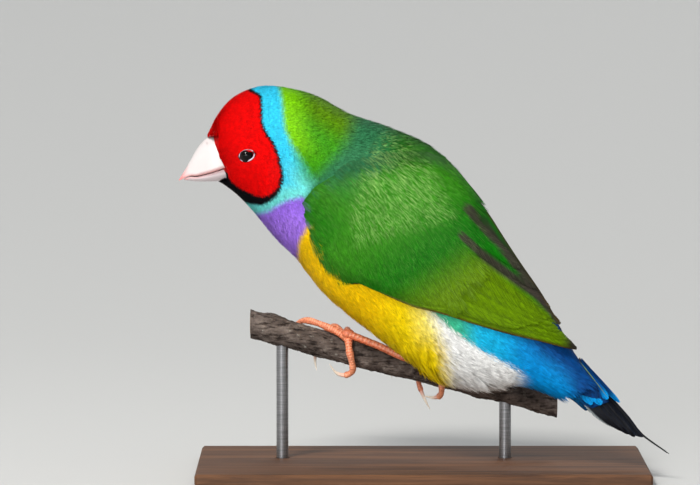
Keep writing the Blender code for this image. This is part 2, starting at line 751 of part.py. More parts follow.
def tail_ring(x, height, tall, wide, sides=TAIL_SIDES):
    """A section of the tail: a steep roof, rounded, across the tail's own line."""
    turn = np.linspace(0, 2 * math.pi, sides, endpoint=False)
    up = np.cos(turn)
    out = np.sin(turn) * (1.0 - 0.3 * up)
    rise = tall / 2 * up
    return placed(
        x + rise * math.sin(TAIL_LEAN),
        height + rise * math.cos(TAIL_LEAN),
        middle_y(x) + wide / 2 * out,
    )


def station_gap(station):
    """The step in station numbers that parts two lengths of the trunk by the gap."""
    speed = (spline(TRUNK, station + 0.05)[0] - spline(TRUNK, station)[0]) / 0.05
    return GAP / min(math.hypot(*speed[0:2]), math.hypot(*speed[2:4]))


def tail_rows(u):
    """Rows of the tail's line at distances along it."""
    fine = spline(TAIL_LINE, np.linspace(0, len(TAIL_LINE) - 1, 80))
    run = np.append(0.0, np.cumsum(np.hypot(np.diff(fine[:, 0]), np.diff(fine[:, 1]))))
    return np.column_stack([np.interp(u, run, fine[:, k]) for k in range(4)])


def tail_surface(u, v, out, side):
    """Points over one side of the tail, u along it and v down from its ridge."""
    x, height, tall, wide = tail_rows(np.clip(u, 0, None)).T
    angle = v / np.maximum((tall + wide) / 4, TAIL_LEAST_REACH)
    up = np.cos(angle)
    beside = np.sin(angle) * (1.0 - 0.3 * up)
    rise = (tall / 2 + out) * up
    return placed(
        x + rise * math.sin(TAIL_LEAN),
        height + rise * math.cos(TAIL_LEAN),
        middle_y(x) + side * (wide / 2 + out) * beside,
    )


def tail_vanes(collection):
    """The six pairs of tail feathers and the coverts over their roots."""
    made = []
    for word, side in (("left", -1), ("right", 1)):

        def surface(u, v, out, side=side):
            return tail_surface(u, v, out, side)

        for index, (root, tip, width, rise, bluntness, steps) in enumerate(TAIL_FEATHERS):
            name = f"tail_feather_{word}_{index}"
            rise = (rise[0], rise[1] + TAIL_LAP * side)
            made.append(vane(name, surface, root, tip, width, rise, TAIL_TILT, bluntness, steps, collection))
    return made


def feathered_tail(name, collection):
    """The tail: a core that ends inside its feathers, with the feathers fused to it."""
    root = trunk_section(TAIL_START + station_gap(TAIL_START), TAIL_SIDES)
    rings = []
    for u in np.linspace(0, TAIL_CORE_END, 5):
        x, height, tall, wide = tail_rows([u])[0]
        inset = 2 * TAIL_CORE_INSET * min(u / 3.0, 1.0)
        rings.append(tail_ring(x, height, tall - inset, wide - inset))
    rings = [root, (root + rings[0]) / 2] + rings
    core = mesh_object(name, *loft(rings), collection)
    fuse(core, tail_vanes(collection), "MANIFOLD")
    return core


def stand(collection, cutters):
    """The flat base and the two rods that hold the perch."""
    mesh = bpy.data.meshes.new("stand_base")
    work = bmesh.new()
    bmesh.ops.create_cube(work, size=1.0)
    bmesh.ops.scale(work, vec=[size * MM for size in BASE_SIZE], verts=work.verts)
    bmesh.ops.translate(work, vec=(0, 0, BASE_SIZE[2] / 2 * MM), verts=work.verts)
    work.to_mesh(mesh)
    work.free()
    base = bpy.data.objects.new("stand_base", mesh)
    collection.objects.link(base)
    corners = base.modifiers.new("corners", "BEVEL")
    corners.width = BASE_CORNER * MM
    corners.segments = 1
    apply_modifiers(base)
    rods = []
    sockets = []
    perch_sockets = []
    for name, x in ROD_X.items():
        foot_z = BASE_SIZE[2] - SOCKET_DEPTH
        top = perch_axis(x) - PERCH_RADIUS + SOCKET_DEPTH
        rods.append(cylinder(name, ROD_RADIUS, (x, PERCH_Y, foot_z), top, collection))
        sockets.append(
            cylinder(name + "_socket", ROD_RADIUS + GAP, (x, PERCH_Y, foot_z - GAP), top, cutters)
        )
        perch_sockets.append(
            cylinder(name + "_seat", ROD_RADIUS + GAP, (x, PERCH_Y, foot_z), top + GAP, cutters)
        )
    cut(base, sockets)
    return base, rods, perch_sockets


def eye_depth(centre, side):
    """How far from the middle plane the head's surface lies at the eye."""
    station, level = station_of([centre[0]], [centre[1]])
    half_width = spline(TRUNK, station)[0, 4]
    return side * half_width * (1 - abs(level[0]) ** SECTION_POWER) ** (1 / SECTION_POWER)


def lid_ring(side, collection):
    """The bare rim round an eye, a thin closed ring lying on the head."""
    turn = np.linspace(0, 2 * math.pi, 17)[:-1]
    points = []
    for angle in turn:
        along = LID_LENGTH / 2 * math.cos(angle)
        up = LID_HEIGHT / 2 * math.sin(angle)
        x = EYE_CENTRE[0] + along * math.cos(LID_TILT) - up * math.sin(LID_TILT)
        height = EYE_CENTRE[1] + along * math.sin(LID_TILT) + up * math.cos(LID_TILT)
        points.append(placed(x, height, middle_y(x) + eye_depth((x, height), side)))
    points = np.array(points)
    centre = points.mean(axis=0)
    rings = []
    for index, point in enumerate(points):
        outwards = point - centre
        outwards /= np.linalg.norm(outwards)
        proud = np.array([0.0, side, 0.0])
        spin = np.linspace(0, 2 * math.pi, 5, endpoint=False)
        rings.append(point + LID_RADIUS * (np.outer(np.cos(spin), outwards) + np.outer(np.sin(spin), proud)))
    sides = len(spin)
    count = len(rings)
    faces = []
    for ring in range(count):
        for step in range(sides):
            here = ring * sides + step
            along = ring * sides + (step + 1) % sides
            over = (ring + 1) % count * sides + (step + 1) % sides
            back = (ring + 1) % count * sides + step
            faces.append((here, along, over))
            faces.append((here, over, back))
    name = "lid_left" if side < 0 else "lid_right"
    return mesh_object(name, np.vstack(rings), faces, collection)


def eyes(collection, cutters):
    """The two eyeballs and the sockets they sit in."""
    balls = []
    sockets = []
    for name, side in (("eye_left", -1), ("eye_right", 1)):
        depth = eye_depth(EYE_CENTRE, side)
        y = middle_y(EYE_CENTRE[0]) + depth - side * (EYE_RADIUS - EYE_SHOW)
        centre = placed(EYE_CENTRE[0], EYE_CENTRE[1], y)
        balls.append(ball(name, centre, (EYE_RADIUS,) * 3, collection))
        sockets.append(ball(name + "_socket", centre, (EYE_RADIUS + GAP,) * 3, cutters, 14, 10))
    return balls, sockets


def build():
    clear_scene()
    bird = make_collection(PART_NAME)
    cutters = make_collection("cutters", hidden=True)

    trunk = trunk_parts(bird)
    wings = {}
    wing_room = []
    for name, side in (("wing_left", -1), ("wing_right", 1)):
        wings[name] = feathered_wing(name, side, bird)
        wing_room.append(wing_pad(name + "_room", side, cutters, grow=GAP, outer=5.0))
    tail = feathered_tail("tail", bird)

    upper = bill_half("bill_upper", True, bird)
    lower = bill_half("bill_lower", False, bird)
    bill_room = [
        bill_half("bill_upper_room", True, cutters, GAP),
        bill_half("bill_lower_room", False, cutters, GAP),
    ]
    nostrils = []
    for word, side in (("left", -1), ("right", 1)):
        nostrils.append(nostril(f"nostril_{word}", side, cutters))
    balls, sockets = eyes(bird, cutters)

    base, rods, seats = stand(bird, cutters)
    branch = perch("stand_perch", bird)
    branch_room = perch("perch_room", cutters, GAP)
    cut(branch, seats)

    feet = []
    all_claws = []
    shanks = []
    leg_room = []
    for side in ("left", "right"):
        sole, claws = foot(side, bird)
        path = tarsus_path(side)
        shank = tube(f"tarsus_{side}", path, np.full(len(path), TARSUS_RADIUS), bird)
        room = foot_room(side, cutters)
        cut(shank, room)
        leg_room += room
        leg_room.append(tube(f"leg_room_{side}", path, np.full(len(path), TARSUS_RADIUS + GAP), cutters))
        feet.append(sole)
        shanks.append(shank)
        all_claws += claws

    fuse(trunk["head"], [lid_ring(-1, bird), lid_ring(1, bird)])
    cut(trunk["head"], bill_room + sockets)
    cut(upper, nostrils)
    cut(trunk["neck"], wing_room)
    cut(trunk["torso"], wing_room + leg_room + [branch_room])
    cut(trunk["rump"], wing_room + leg_room + [branch_room])

    for name in ("head", "neck", "torso", "rump"):
        finish(trunk[name], name)
    for wing in wings.values():
        finish(wing, "wing")
    finish(tail, "tail")
    finish(upper, "bill", 0.4)
    finish(lower, "bill", 0.4)
    for eyeball in balls:
        finish(eyeball, "eye", 0.1)
    for piece in feet + shanks:
        finish(piece, "leg", 0.5)
    for claw in all_claws:
        finish(claw, "claw", 0.4)
    finish(branch, "perch", 0.9)
    for piece in [base] + rods:
        finish(piece, "stand", 0.5)
    for cutter in cutters.objects:
        cutter.hide_render = True
        cutter.display_type = "WIRE"


build()
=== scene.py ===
"""The looks of a red-headed male Gouldian finch on its display stand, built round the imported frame.

Lengths are millimetres until a mesh is made. The bird faces -X, its left side is towards -Y, +Z is up.
"""

import math

import bpy
import numpy as np
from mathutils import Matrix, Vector


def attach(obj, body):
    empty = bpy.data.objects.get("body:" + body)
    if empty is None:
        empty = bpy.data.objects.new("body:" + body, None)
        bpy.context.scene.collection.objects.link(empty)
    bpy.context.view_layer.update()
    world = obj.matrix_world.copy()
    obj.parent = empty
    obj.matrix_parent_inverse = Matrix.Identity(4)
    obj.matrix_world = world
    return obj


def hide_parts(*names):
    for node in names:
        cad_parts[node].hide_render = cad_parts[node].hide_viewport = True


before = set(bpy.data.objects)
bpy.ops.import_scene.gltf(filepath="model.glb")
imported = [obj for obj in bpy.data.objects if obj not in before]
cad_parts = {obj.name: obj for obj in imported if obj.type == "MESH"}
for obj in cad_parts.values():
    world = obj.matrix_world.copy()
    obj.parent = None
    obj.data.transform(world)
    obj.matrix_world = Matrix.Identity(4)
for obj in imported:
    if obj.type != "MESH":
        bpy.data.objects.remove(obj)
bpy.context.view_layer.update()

# The stand's base: a flat board of oiled walnut with eased edges, cut from one plank, so its
# grain runs the long way and its end grain shows at the short sides.
MM = 0.001


def paint(*colour):
    """The linear colour of a paint chip given as red, green and blue from 0 to 255."""
    share = np.array(colour) / 255.0
    return np.where(share <= 0.04045, share / 12.92, ((share + 0.055) / 1.055) ** 2.4)


WALNUT_DARK = paint(58, 36, 22)
WALNUT_PALE = paint(112, 74, 46)
WALNUT_STRETCH = (6.0, 95.0, 95.0)


def new_finish(name, roughness, **settings):
    """A material's tree and its shader, with the settings that are the same all over it."""
    made = bpy.data.materials.new(name)
    made.use_nodes = True
    shader = made.node_tree.nodes["Principled BSDF"]
    shader.inputs["Roughness"].default_value = roughness
    for label, value in settings.items():
        shader.inputs[label.replace("_", " ")].default_value = value
    return made, made.node_tree, shader


def add(tree, kind, feeds=(), **settings):
    """A shader node: settings are its own choices, feeds are values or sockets for its inputs."""
    made = tree.nodes.new(kind)
    for label, value in settings.items():
        setattr(made, label, value)
    for label, value in dict(feeds).items():
        if isinstance(value, bpy.types.NodeSocket):
            tree.links.new(value, made.inputs[label])
        else:
            made.inputs[label].default_value = value
    return made


def ramp(tree, factor, stops):
    """A colour ramp over a factor, from (place, linear colour) stops."""
    made = add(tree, "ShaderNodeValToRGB", {"Fac": factor})
    while len(made.color_ramp.elements) < len(stops):
        made.color_ramp.elements.new(0.5)
    for element, (place, colour) in zip(made.color_ramp.elements, stops):
        element.position = place
        element.color = (*colour, 1.0)
    return made.outputs["Color"]


def noise(tree, scale, detail, stretch=None, **feeds):
    """The value of a noise over the piece's own place, which is first multiplied along X, Y and Z
    by the stretch where one is given."""
    place = add(tree, "ShaderNodeTexCoord").outputs["Object"]
    if stretch:
        place = add(tree, "ShaderNodeMapping", {"Vector": place, "Scale": stretch}).outputs["Vector"]
    feeds.update(Vector=place, Scale=scale, Detail=detail)
    return add(tree, "ShaderNodeTexNoise", feeds).outputs["Fac"]


def cover(tree, shader, colour, relief=None, strength=0.0, distance=0.0):
    """Feeds the shader a colour and, where one is given, a relief in metres over distance."""
    tree.links.new(colour, shader.inputs["Base Color"])
    if relief is not None:
        made = add(tree, "ShaderNodeBump", {"Height": relief, "Strength": strength, "Distance": distance})
        tree.links.new(made.outputs["Normal"], shader.inputs["Normal"])


def walnut():
    """Long noise along X gives the grain, and a finer one the pores, over the board's own place."""
    made, tree, shader = new_finish("walnut_oiled", 0.58, Specular_IOR_Level=0.3)
    grain = noise(tree, 3.0, 6.0, WALNUT_STRETCH, Roughness=0.6, Distortion=0.8)
    pores = noise(tree, 22.0, 3.0, WALNUT_STRETCH)
    cover(tree, shader, ramp(tree, grain, [(0.34, WALNUT_DARK), (0.66, WALNUT_PALE)]), pores, 0.25, 0.0003)
    return made


def dress(node_name, material):
    """Gives a CAD node's object its material."""
    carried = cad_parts[node_name]
    carried.data.materials.clear()
    carried.data.materials.append(material)


dress("stand_base", walnut())

# The two rods: drawn steel wire, satin brushed, pushed into holes in the board and the branch.
STEEL = paint(150, 150, 152)
STEEL_DARK = paint(120, 120, 123)
STEEL_STRETCH = (200.0, 200.0, 4000.0)


def satin_steel():
    """Fine rings of noise round each rod, as its drawing and brushing leave."""
    made, tree, shader = new_finish("satin_steel", 0.34, Metallic=1.0)
    brushed = noise(tree, 1.0, 2.0, STEEL_STRETCH)
    cover(tree, shader, ramp(tree, brushed, [(0.3, STEEL_DARK), (0.7, STEEL)]), brushed, 0.2, 0.0001)
    return made


steel = satin_steel()
dress("stand_rod_front", steel)
dress("stand_rod_rear", steel)

# The perch: a short cut length of weathered branch with its bark on, dark grey-brown with pale
# lichen flecks, low knots where twigs grew, and a sawn face at each end.
PERCH_RADIUS = 3.6
PERCH_Y = 5.0
PERCH_Z_AT_ORIGIN = 25.5
PERCH_SLOPE = -0.262
PERCH_FROM_X = -43.0
PERCH_TO_X = 34.0
PERCH_KNOTS = ((-37.0, 0.35, 0.4), (14.0, 0.3, 2.6), (30.0, 0.25, 5.0))
BARK_RELIEF = 0.2
BARK_SEED = 11
# The bark's ripples: most waves along and round, height in steps of the relief, and how many.
BARK_WAVES = ((9, 3, 0.5, 10), (40, 9, 0.34, 24), (110, 26, 0.3, 40))
BARK_DARK = paint(54, 45, 40)
BARK_BROWN = paint(88, 77, 71)
BARK_PALE = paint(126, 114, 106)
BARK_CRACK = paint(112, 102, 96)
LICHEN = paint(158, 156, 146)
END_GRAIN = paint(176, 142, 96)
WHITE = paint(255, 255, 255)
BLACK = paint(0, 0, 0)


def perch_axis(x):
    """The height of the branch's middle line, which has a slight natural bend."""
    return PERCH_Z_AT_ORIGIN + PERCH_SLOPE * x + 0.3 * np.sin(np.asarray(x) / 13.0)


def quads(rows, columns, wrap):
    """Corner numbers of the quads of a grid of points, whose columns close on themselves if wrap."""
    across = columns if wrap else columns - 1
    row, column = np.meshgrid(np.arange(rows - 1), np.arange(across), indexing="ij")
    here = row * columns + column
    beside = row * columns + (column + 1) % columns
    return np.stack([here, beside, beside + columns, here + columns], axis=-1).reshape(-1, 4)


def mesh_piece(name, points, faces, material, normals=None):
    """A piece from points in millimetres and arrays of corner numbers, one array for each face size.
    It is shaded by the normals, where it has them, and otherwise smoothly by its own faces."""
    mesh = bpy.data.meshes.new(name)
    points = np.asarray(points, float).reshape(-1, 3)
    corners = np.concatenate([group.ravel() for group in faces]).astype(np.int32)
    sizes = np.concatenate([np.full(len(group), group.shape[1]) for group in faces])
    mesh.vertices.add(len(points))
    mesh.vertices.foreach_set("co", (points * MM).astype(np.float32).ravel())
    mesh.loops.add(len(corners))
    mesh.loops.foreach_set("vertex_index", corners)
    mesh.polygons.add(len(sizes))
    mesh.polygons.foreach_set("loop_start", (np.cumsum(sizes) - sizes).astype(np.int32))
    mesh.update(calc_edges=True)
    mesh.shade_smooth()
    if normals is not None:
        mesh.normals_split_custom_set_from_vertices(normals.reshape(-1, 3).tolist())
    mesh.materials.append(material)
    made = bpy.data.objects.new(name, mesh)
    bpy.context.scene.collection.objects.link(made)
    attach(made, "root")
    return made


def tint(piece, name, colours):
    """Stores a linear colour at each point of a piece."""
    layer = piece.data.color_attributes.new(name, "FLOAT_COLOR", "POINT")
    full = np.ones((len(colours), 4), np.float32)
    full[:, :3] = colours
    layer.data.foreach_set("color", full.ravel())


def turns(count):
    """Angles evenly round a full circle."""
    return np.linspace(0, 2 * math.pi, count, endpoint=False)


def with_ends(grid):
    """The values of a grid of rings in one list, then the means of its first and last rings."""
    ends = np.stack([grid[0].mean(axis=0), grid[-1].mean(axis=0)])
    return np.concatenate([grid.reshape(-1, *grid.shape[2:]), ends])


def tube_piece(name, rings, material):
    """A closed tube through rings of points, each end drawn to a point at its middle."""
    count, sides = rings.shape[:2]
    side = np.arange(sides)
    ahead = (side + 1) % sides
    last = (count - 1) * sides
    first_cap = np.stack([side, np.full(sides, count * sides), ahead], axis=-1)
    last_cap = np.stack([last + side, last + ahead, np.full(sides, count * sides + 1)], axis=-1)
    return mesh_piece(name, with_ends(rings), [quads(count, sides, True), first_cap, last_cap], material)


def ripple(shape, seed, waves):
    """Smooth random relief on a grid that closes round its second side: a sum of sine waves, each
    given by its waves along, waves round and height."""
    draw = np.random.default_rng(seed)
    along = np.linspace(0, 2 * math.pi, shape[0])[:, None]
    around = turns(shape[1])[None, :]
    relief = np.zeros(shape)
    for most_along, most_round, height, count in waves:
        for _ in range(count):
            turn = draw.integers(-most_round, most_round + 1)
            wave = along * draw.uniform(0.2, 1) * most_along + around * turn + draw.uniform(0, 2 * math.pi)
            relief += height * np.sin(wave) / math.sqrt(count)
    return relief


def mixed(tree, first, second, share=1.0, way="MULTIPLY"):
    """Two colours mixed by a share, multiplied unless another way is given."""
    feeds = {0: share, 6: first, 7: second}
    return add(tree, "ShaderNodeMix", feeds, data_type="RGBA", blend_type=way).outputs[2]


def bark():
    """Bark: blotches of two browns under fine cracks, with pale lichen flecks on the raised parts."""
    made, tree, shader = new_finish("perch_bark", 0.88, Specular_IOR_Level=0.25)
    blotch = noise(tree, 260.0, 8.0, Roughness=0.65)
    fleck = noise(tree, 720.0, 5.0, Roughness=0.7)
    crack = noise(tree, 1.0, 4.0, (350.0, 1500.0, 1500.0))
    base = ramp(tree, blotch, [(0.3, BARK_DARK), (0.5, BARK_BROWN), (0.72, BARK_PALE)])
    lichen = ramp(tree, fleck, [(0.6, BLACK), (0.7, paint(200, 200, 200))])
    colour = mixed(tree, base, (*LICHEN, 1.0), lichen, "MIX")
    colour = mixed(tree, colour, ramp(tree, crack, [(0.34, BARK_CRACK), (0.52, WHITE)]))
    height = add(tree, "ShaderNodeMath", {0: blotch, 1: crack}, operation="ADD").outputs[0]
    cover(tree, shader, colour, height, 0.8, 0.0006)
    return made


def perch_branch():
    """Circles carried along the middle line, swollen at the knots and roughened all over."""
    steps, sides = 300, 84
    x = np.linspace(PERCH_FROM_X, PERCH_TO_X, steps)[:, None]
    turn = turns(sides)[None, :]
    relief = ripple((steps, sides), BARK_SEED, BARK_WAVES)
    radius = PERCH_RADIUS + BARK_RELIEF * relief - 0.04
    for knot_x, swell, knot_turn in PERCH_KNOTS:
        facing = np.exp(3.0 * (np.cos(turn - knot_turn) - 1))
        radius = radius + swell * np.exp(-((x - knot_x) ** 2) / 6.0) * (0.4 + 1.4 * facing)
    y = PERCH_Y + radius * np.sin(turn)
    z = perch_axis(x) + radius * np.cos(turn)
    rings = np.stack([x + 0 * turn, y, z], axis=-1)
    branch = tube_piece("perch_branch", rings[:, ::-1], bark())
    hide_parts("stand_perch")
    return branch


def stored(tree, name):
    """The colour that a piece's points store under a name."""
    return add(tree, "ShaderNodeAttribute", attribute_name=name).outputs["Color"]


def sawn_wood():
    """End grain: the rings stored on the disc, broken by a fine noise."""
    made, tree, shader = new_finish("perch_end_grain", 0.8)
    cover(tree, shader, mixed(tree, stored(tree, "ring"), noise(tree, 900.0, 3.0), 0.35, "OVERLAY"))
    return made


def sawn_faces():
    """A shallow disc over each end: points at a distance and a turn from the middle line."""
    wood = sawn_wood()
    rows, sides = 22, 48
    reach = np.linspace(0.02, 1, rows)[:, None]
    away = reach * (PERCH_RADIUS - 0.3)
    out = 0.06 + 0.03 * np.sin(reach * 40) - 0.1 * reach**8
    tone = 0.5 + 0.5 * np.sin(np.append(np.repeat(reach[:, 0], sides), 0) * 34)
    for name, x, facing in (("perch_cut_front", PERCH_FROM_X, -1), ("perch_cut_rear", PERCH_TO_X, 1)):
        turn = facing * turns(sides)[None, :]
        y = PERCH_Y + away * np.sin(turn)
        z = perch_axis(x) + away * np.cos(turn)
        grid = np.stack([x + facing * out + 0 * turn, y, z], axis=-1)
        points = np.concatenate([grid.reshape(-1, 3), grid[:1].mean(axis=1)])
        side = np.arange(sides)
        hub = np.stack([(side + 1) % sides, side, np.full(sides, len(points) - 1)], axis=-1)
        disc = mesh_piece(name, points, [quads(rows, sides, True), hub], wood)
        tint(disc, "ring", END_GRAIN * (0.55 + 0.45 * tone[:, None]))


perch_branch()
sawn_faces()

# The skin: one closed surface from the bill's root to the tail's, which lies inside the head,
# neck, torso and rump by the depth of the coat. Its colour follows the plumage's markings,
# darkened as painted shade under the coat.
VIEW_RISE = math.tan(math.radians(4.0))
TRUNK = np.array([
    (-53.5, 84.5, -51.2, 73.2, 4.8), (-50.8, 89.8, -49.2, 72.0, 7.0), (-46.5, 94.2, -46.0, 69.5, 8.9),
    (-40.0, 96.6, -43.0, 66.5, 10.3), (-33.0, 96.0, -40.0, 63.0, 11.6),
    (-26.0, 93.9, -36.0, 58.2, 13.2), (-18.2, 89.6, -31.5, 54.0, 15.0), (-7.5, 85.8, -28.2, 49.8, 16.6),
    (2.0, 81.2, -23.5, 44.2, 17.4), (10.2, 73.5, -15.0, 37.2, 17.2), (18.8, 62.0, -4.2, 29.2, 15.6),
    (25.5, 52.0, 4.5, 24.6, 12.8), (32.0, 42.0, 14.5, 22.6, 9.8), (38.2, 30.8, 24.5, 22.4, 7.2),
    (43.8, 23.2, 34.5, 18.7, 5.4), (47.0, 19.0, 39.5, 15.0, 4.2),
])
SECTION_POWER = 2.15
NECK_BEND_X = -44.0
YAW_SLOPE = math.tan(math.radians(12.0))
YAW_SOFTENING = 12.0
# How far the skin lies inside the solids, by station number from the bill's root to the tail.
COAT_DEPTH = ((0.0, 1.5), (0.7, 1.2), (1.4, 0.75), (2.2, 0.55), (4.0, 0.75), (6.0, 1.0), (15.0, 1.1))


def spline(rows, at):
    """Catmull-Rom values of a table's columns at fractional row numbers."""
    rows = np.asarray(rows, float)
    at = np.atleast_1d(np.asarray(at, float))
    padded = np.vstack([2 * rows[0] - rows[1], rows, 2 * rows[-1] - rows[-2]])
    start = np.clip(np.floor(at).astype(int), 0, len(rows) - 2)
    t = (at - start)[:, None]
    p0, p1, p2, p3 = (padded[start + shift] for shift in range(4))
    return 0.5 * (
        2 * p1 + (p2 - p0) * t + (2 * p0 - 5 * p1 + 4 * p2 - p3) * t**2 + (3 * p1 - p0 - 3 * p2 + p3) * t**3
    )


def middle_y(x):
    """The trunk's middle plane: straight at the head, then yawed towards the viewer."""
    past = np.asarray(x, float) - NECK_BEND_X
    return -YAW_SLOPE * YAW_SOFTENING * np.logaddexp(0.0, past / YAW_SOFTENING - 1.0)


def placed(x, height, y):
    """Points in space of places in the profile, given how far they lie across it."""
    x, height, y = np.broadcast_arrays(x, height, y)
    return np.stack([x, y, height - y * VIEW_RISE], axis=-1)


def from_pairs(table, at):
    """Values at given places from a table of (place, value) pairs, in proportion between them."""
    return np.interp(at, [row[0] for row in table], [row[1] for row in table])


def section_reach(level):
    """How far a section reaches across, as a share of its half width, at a level from its middle (0)
    to its top or bottom (1): (1 - level^p)^(1/p)."""
    return (1 - level**SECTION_POWER) ** (1 / SECTION_POWER)


def trunk(station, turn, profile=False):
    """The body's surface: a rounded section at each station between the back line and the belly
    line, swept by its turn from the back (0) down the right side (pi / 2) to the belly (pi)."""
    station, turn = np.broadcast_arrays(station, turn)
    shape = station.shape
    back_x, back_z, belly_x, belly_z, half_width = spline(TRUNK, station.ravel()).T
    turn = turn.ravel()
    up = np.sign(np.cos(turn)) * np.abs(np.cos(turn)) ** (2 / SECTION_POWER)
    out = np.sign(np.sin(turn)) * np.abs(np.sin(turn)) ** (2 / SECTION_POWER)
    x = (back_x + belly_x) / 2 + up * (back_x - belly_x) / 2
    height = (back_z + belly_z) / 2 + up * (back_z - belly_z) / 2
    if profile:
        return x.reshape(shape), height.reshape(shape)
    return placed(x, height, middle_y(x) + out * half_width).reshape(*shape, 3)


def unit(vectors):
    """Vectors shortened to length one."""
    return vectors / np.maximum(np.linalg.norm(vectors, axis=-1, keepdims=True), 1e-9)


def trunk_slopes(station, turn):
    """How the surface runs a station on and a radian round, by central differences."""
    step = 0.01
    along = (trunk(station + step, turn) - trunk(station - step, turn)) / (2 * step)
    around = (trunk(station, turn + step) - trunk(station, turn - step)) / (2 * step)
    return along, around


def over_trunk(station, turn, height):
    """Points a height off the body's surface along its outward direction, and that direction."""
    along, around = trunk_slopes(station, turn)
    outward = unit(np.cross(along, around))
    return trunk(station, turn) + np.asarray(height)[..., None] * outward, outward


def blend(low, high, value):
    """A smooth step from 0 at low to 1 at high."""
    share = np.clip((value - low) / (high - low), 0, 1)
    return share * share * (3 - 2 * share)


def inside(places, outline, block=20000):
    """How far places (x, height) lie inside a closed outline, negative outside it: the distance to
    the nearest side, signed by how often a level line from the place crosses the outline."""
    outline = np.asarray(outline, float)
    run = np.roll(outline, -1, axis=0) - outline
    found = []
    for first in range(0, len(places), block):
        off = places[first:first + block, None, :] - outline[None]
        share = np.clip((off * run).sum(-1) / np.maximum((run**2).sum(-1), 1e-9), 0, 1)
        gap = np.linalg.norm(off - share[..., None] * run, axis=-1).min(axis=1)
        above = off[..., 1] >= 0
        crossed = above != (off[..., 1] >= run[:, 1])
        reach = off[..., 1] / np.where(np.abs(run[:, 1]) < 1e-9, 1e-9, run[:, 1]) * run[:, 0]
        odd = (crossed & (off[..., 0] < reach)).sum(axis=1) % 2 == 1
        found.append(np.where(odd, gap, -gap))
    return np.concatenate(found)


def closed_by(line, corners):
    """A smooth line through points of the profile, closed round far corners."""
    line = np.array(line, float)
    fine = spline(line, np.linspace(0, len(line) - 1, 3 * len(line)))
    return np.vstack([fine, corners])


# Borders of the markings in the profile (x, height), each the front part of a closed outline.
RED_EDGE = closed_by(
    [(-43.9, 96.5), (-43.2, 95.2), (-41.75, 94.5), (-40.5, 93.4), (-40.25, 91.0), (-40.2, 88.5),
     (-39.9, 86.2), (-38.75, 84.0), (-37.75, 82.6), (-37.0, 81.2), (-36.25, 79.2), (-35.5, 76.3),
     (-35.1, 74.8), (-35.25, 73.0), (-35.75, 71.4), (-36.75, 70.2), (-38.0, 69.4), (-40.0, 69.0),
     (-41.75, 69.4), (-43.5, 70.2), (-45.5, 71.2), (-47.0, 72.3), (-48.9, 74.4), (-52.0, 75.6)],
    [(-70, 75), (-70, 105)],
)
BLACK_EDGE = closed_by(
    [(-43.2, 98.0), (-42.9, 96.3), (-41.5, 95.2), (-40.0, 94.2), (-39.7, 91.3), (-39.6, 88.6),
     (-39.3, 86.5), (-38.1, 84.3), (-37.1, 82.9), (-36.35, 81.4), (-35.55, 79.4), (-34.8, 76.5),
     (-34.3, 74.8), (-34.45, 72.9), (-34.9, 71.0), (-35.75, 69.4), (-37.4, 67.9), (-40.0, 66.9),
     (-42.25, 67.2), (-44.2, 67.6)],
    [(-50, 62), (-70, 62), (-70, 105)],
)
CYAN_EDGE = closed_by(
    [(-36.6, 99.0), (-35.7, 96.5), (-35.0, 93.0), (-34.6, 89.5), (-34.2, 86.0), (-33.0, 83.0), (-31.8, 80.3),
     (-30.4, 76.6), (-28.9, 73.3), (-27.6, 71.2), (-28.4, 69.4), (-30.5, 68.7), (-33.0, 68.2), (-35.2, 67.2),
     (-36.8, 66.2), (-38.5, 65.3), (-41.5, 64.8), (-44.5, 66.0)],
    [(-50, 62), (-70, 62), (-70, 105)],
)
VIOLET_EDGE = closed_by(
    [(-45.0, 64.6), (-41.5, 65.2), (-36.8, 67.0), (-33.0, 69.0), (-29.7, 69.6), (-28.6, 66.0), (-28.1, 62.3),
     (-29.4, 60.2), (-30.6, 57.4), (-30.9, 54.4), (-31.0, 50.0)],
    [(-31, 40), (-60, 40), (-60, 64)],
)
BELLY_EDGE = closed_by(
    [(-34.0, 62.5), (-28.0, 62.6), (-26.6, 58.2), (-22.5, 53.5), (-16.0, 50.0), (-8.0, 46.8), (0.0, 42.6),
     (4.5, 38.9), (8.0, 35.8), (15.0, 30.9), (20.0, 28.2), (25.5, 24.9), (30.5, 21.0)],
    [(34, 10), (-40, 10), (-40, 50)],
)
# The nape's lime reaches back to these places of the profile: height, then x.
NAPE_REACH = ((70.0, -29.0), (73.0, -27.0), (76.0, -24.0), (81.0, -19.5), (88.0, -17.0))
# Where the light catches the hairy barbs of the mantle and shoulder.
LIT_HAIR = (
    (-10.0, 85.2), (-5.5, 83.2), (0.8, 75.8), (6.2, 65.0), (-0.5, 63.2), (-6.0, 61.6), (-11.8, 59.8),
    (-17.5, 58.4), (-19.0, 66.0), (-17.5, 73.2), (-15.0, 79.0),
)
NAPE_LIME = paint(128, 206, 0)
NAPE_GREEN = paint(58, 148, 0)
NAPE_OLIVE = paint(96, 136, 0)
MANTLE_GREEN = paint(36, 108, 10)
MANTLE_TEAL = paint(46, 118, 74)
CYAN = paint(52, 204, 238)
CYAN_PALE = paint(118, 228, 222)
VIOLET = paint(172, 124, 238)
VIOLET_DEEP = paint(142, 96, 222)
GOLD = paint(255, 210, 0)
YELLOW = paint(255, 226, 6)
STRAW = paint(252, 238, 130)
VENT_WHITE = paint(252, 252, 250)
FLANK_TEAL = paint(64, 190, 146)
RUMP_CYAN = paint(20, 186, 232)
RUMP_BLUE = paint(0, 146, 220)
# A deep blue: painted shade on the blue of the upper rump and of the tail coverts.
BLUE_SHADE = paint(2, 70, 138)
MASK_RED = paint(230, 0, 0)
# A darker red: painted shade on the mask at the lore.
MASK_SHADE = paint(164, 0, 0)
CHIN_BLACK = paint(9, 8, 14)
BACK_DUSK = paint(52, 76, 14)


def layered(colour, *coats):
    """A colour with coats laid over it in turn, each by its share at every point:
    colour + (coat - colour) * share."""
    for coat, share in coats:
        colour = colour + (coat - colour) * np.asarray(share)[:, None]
    return colour


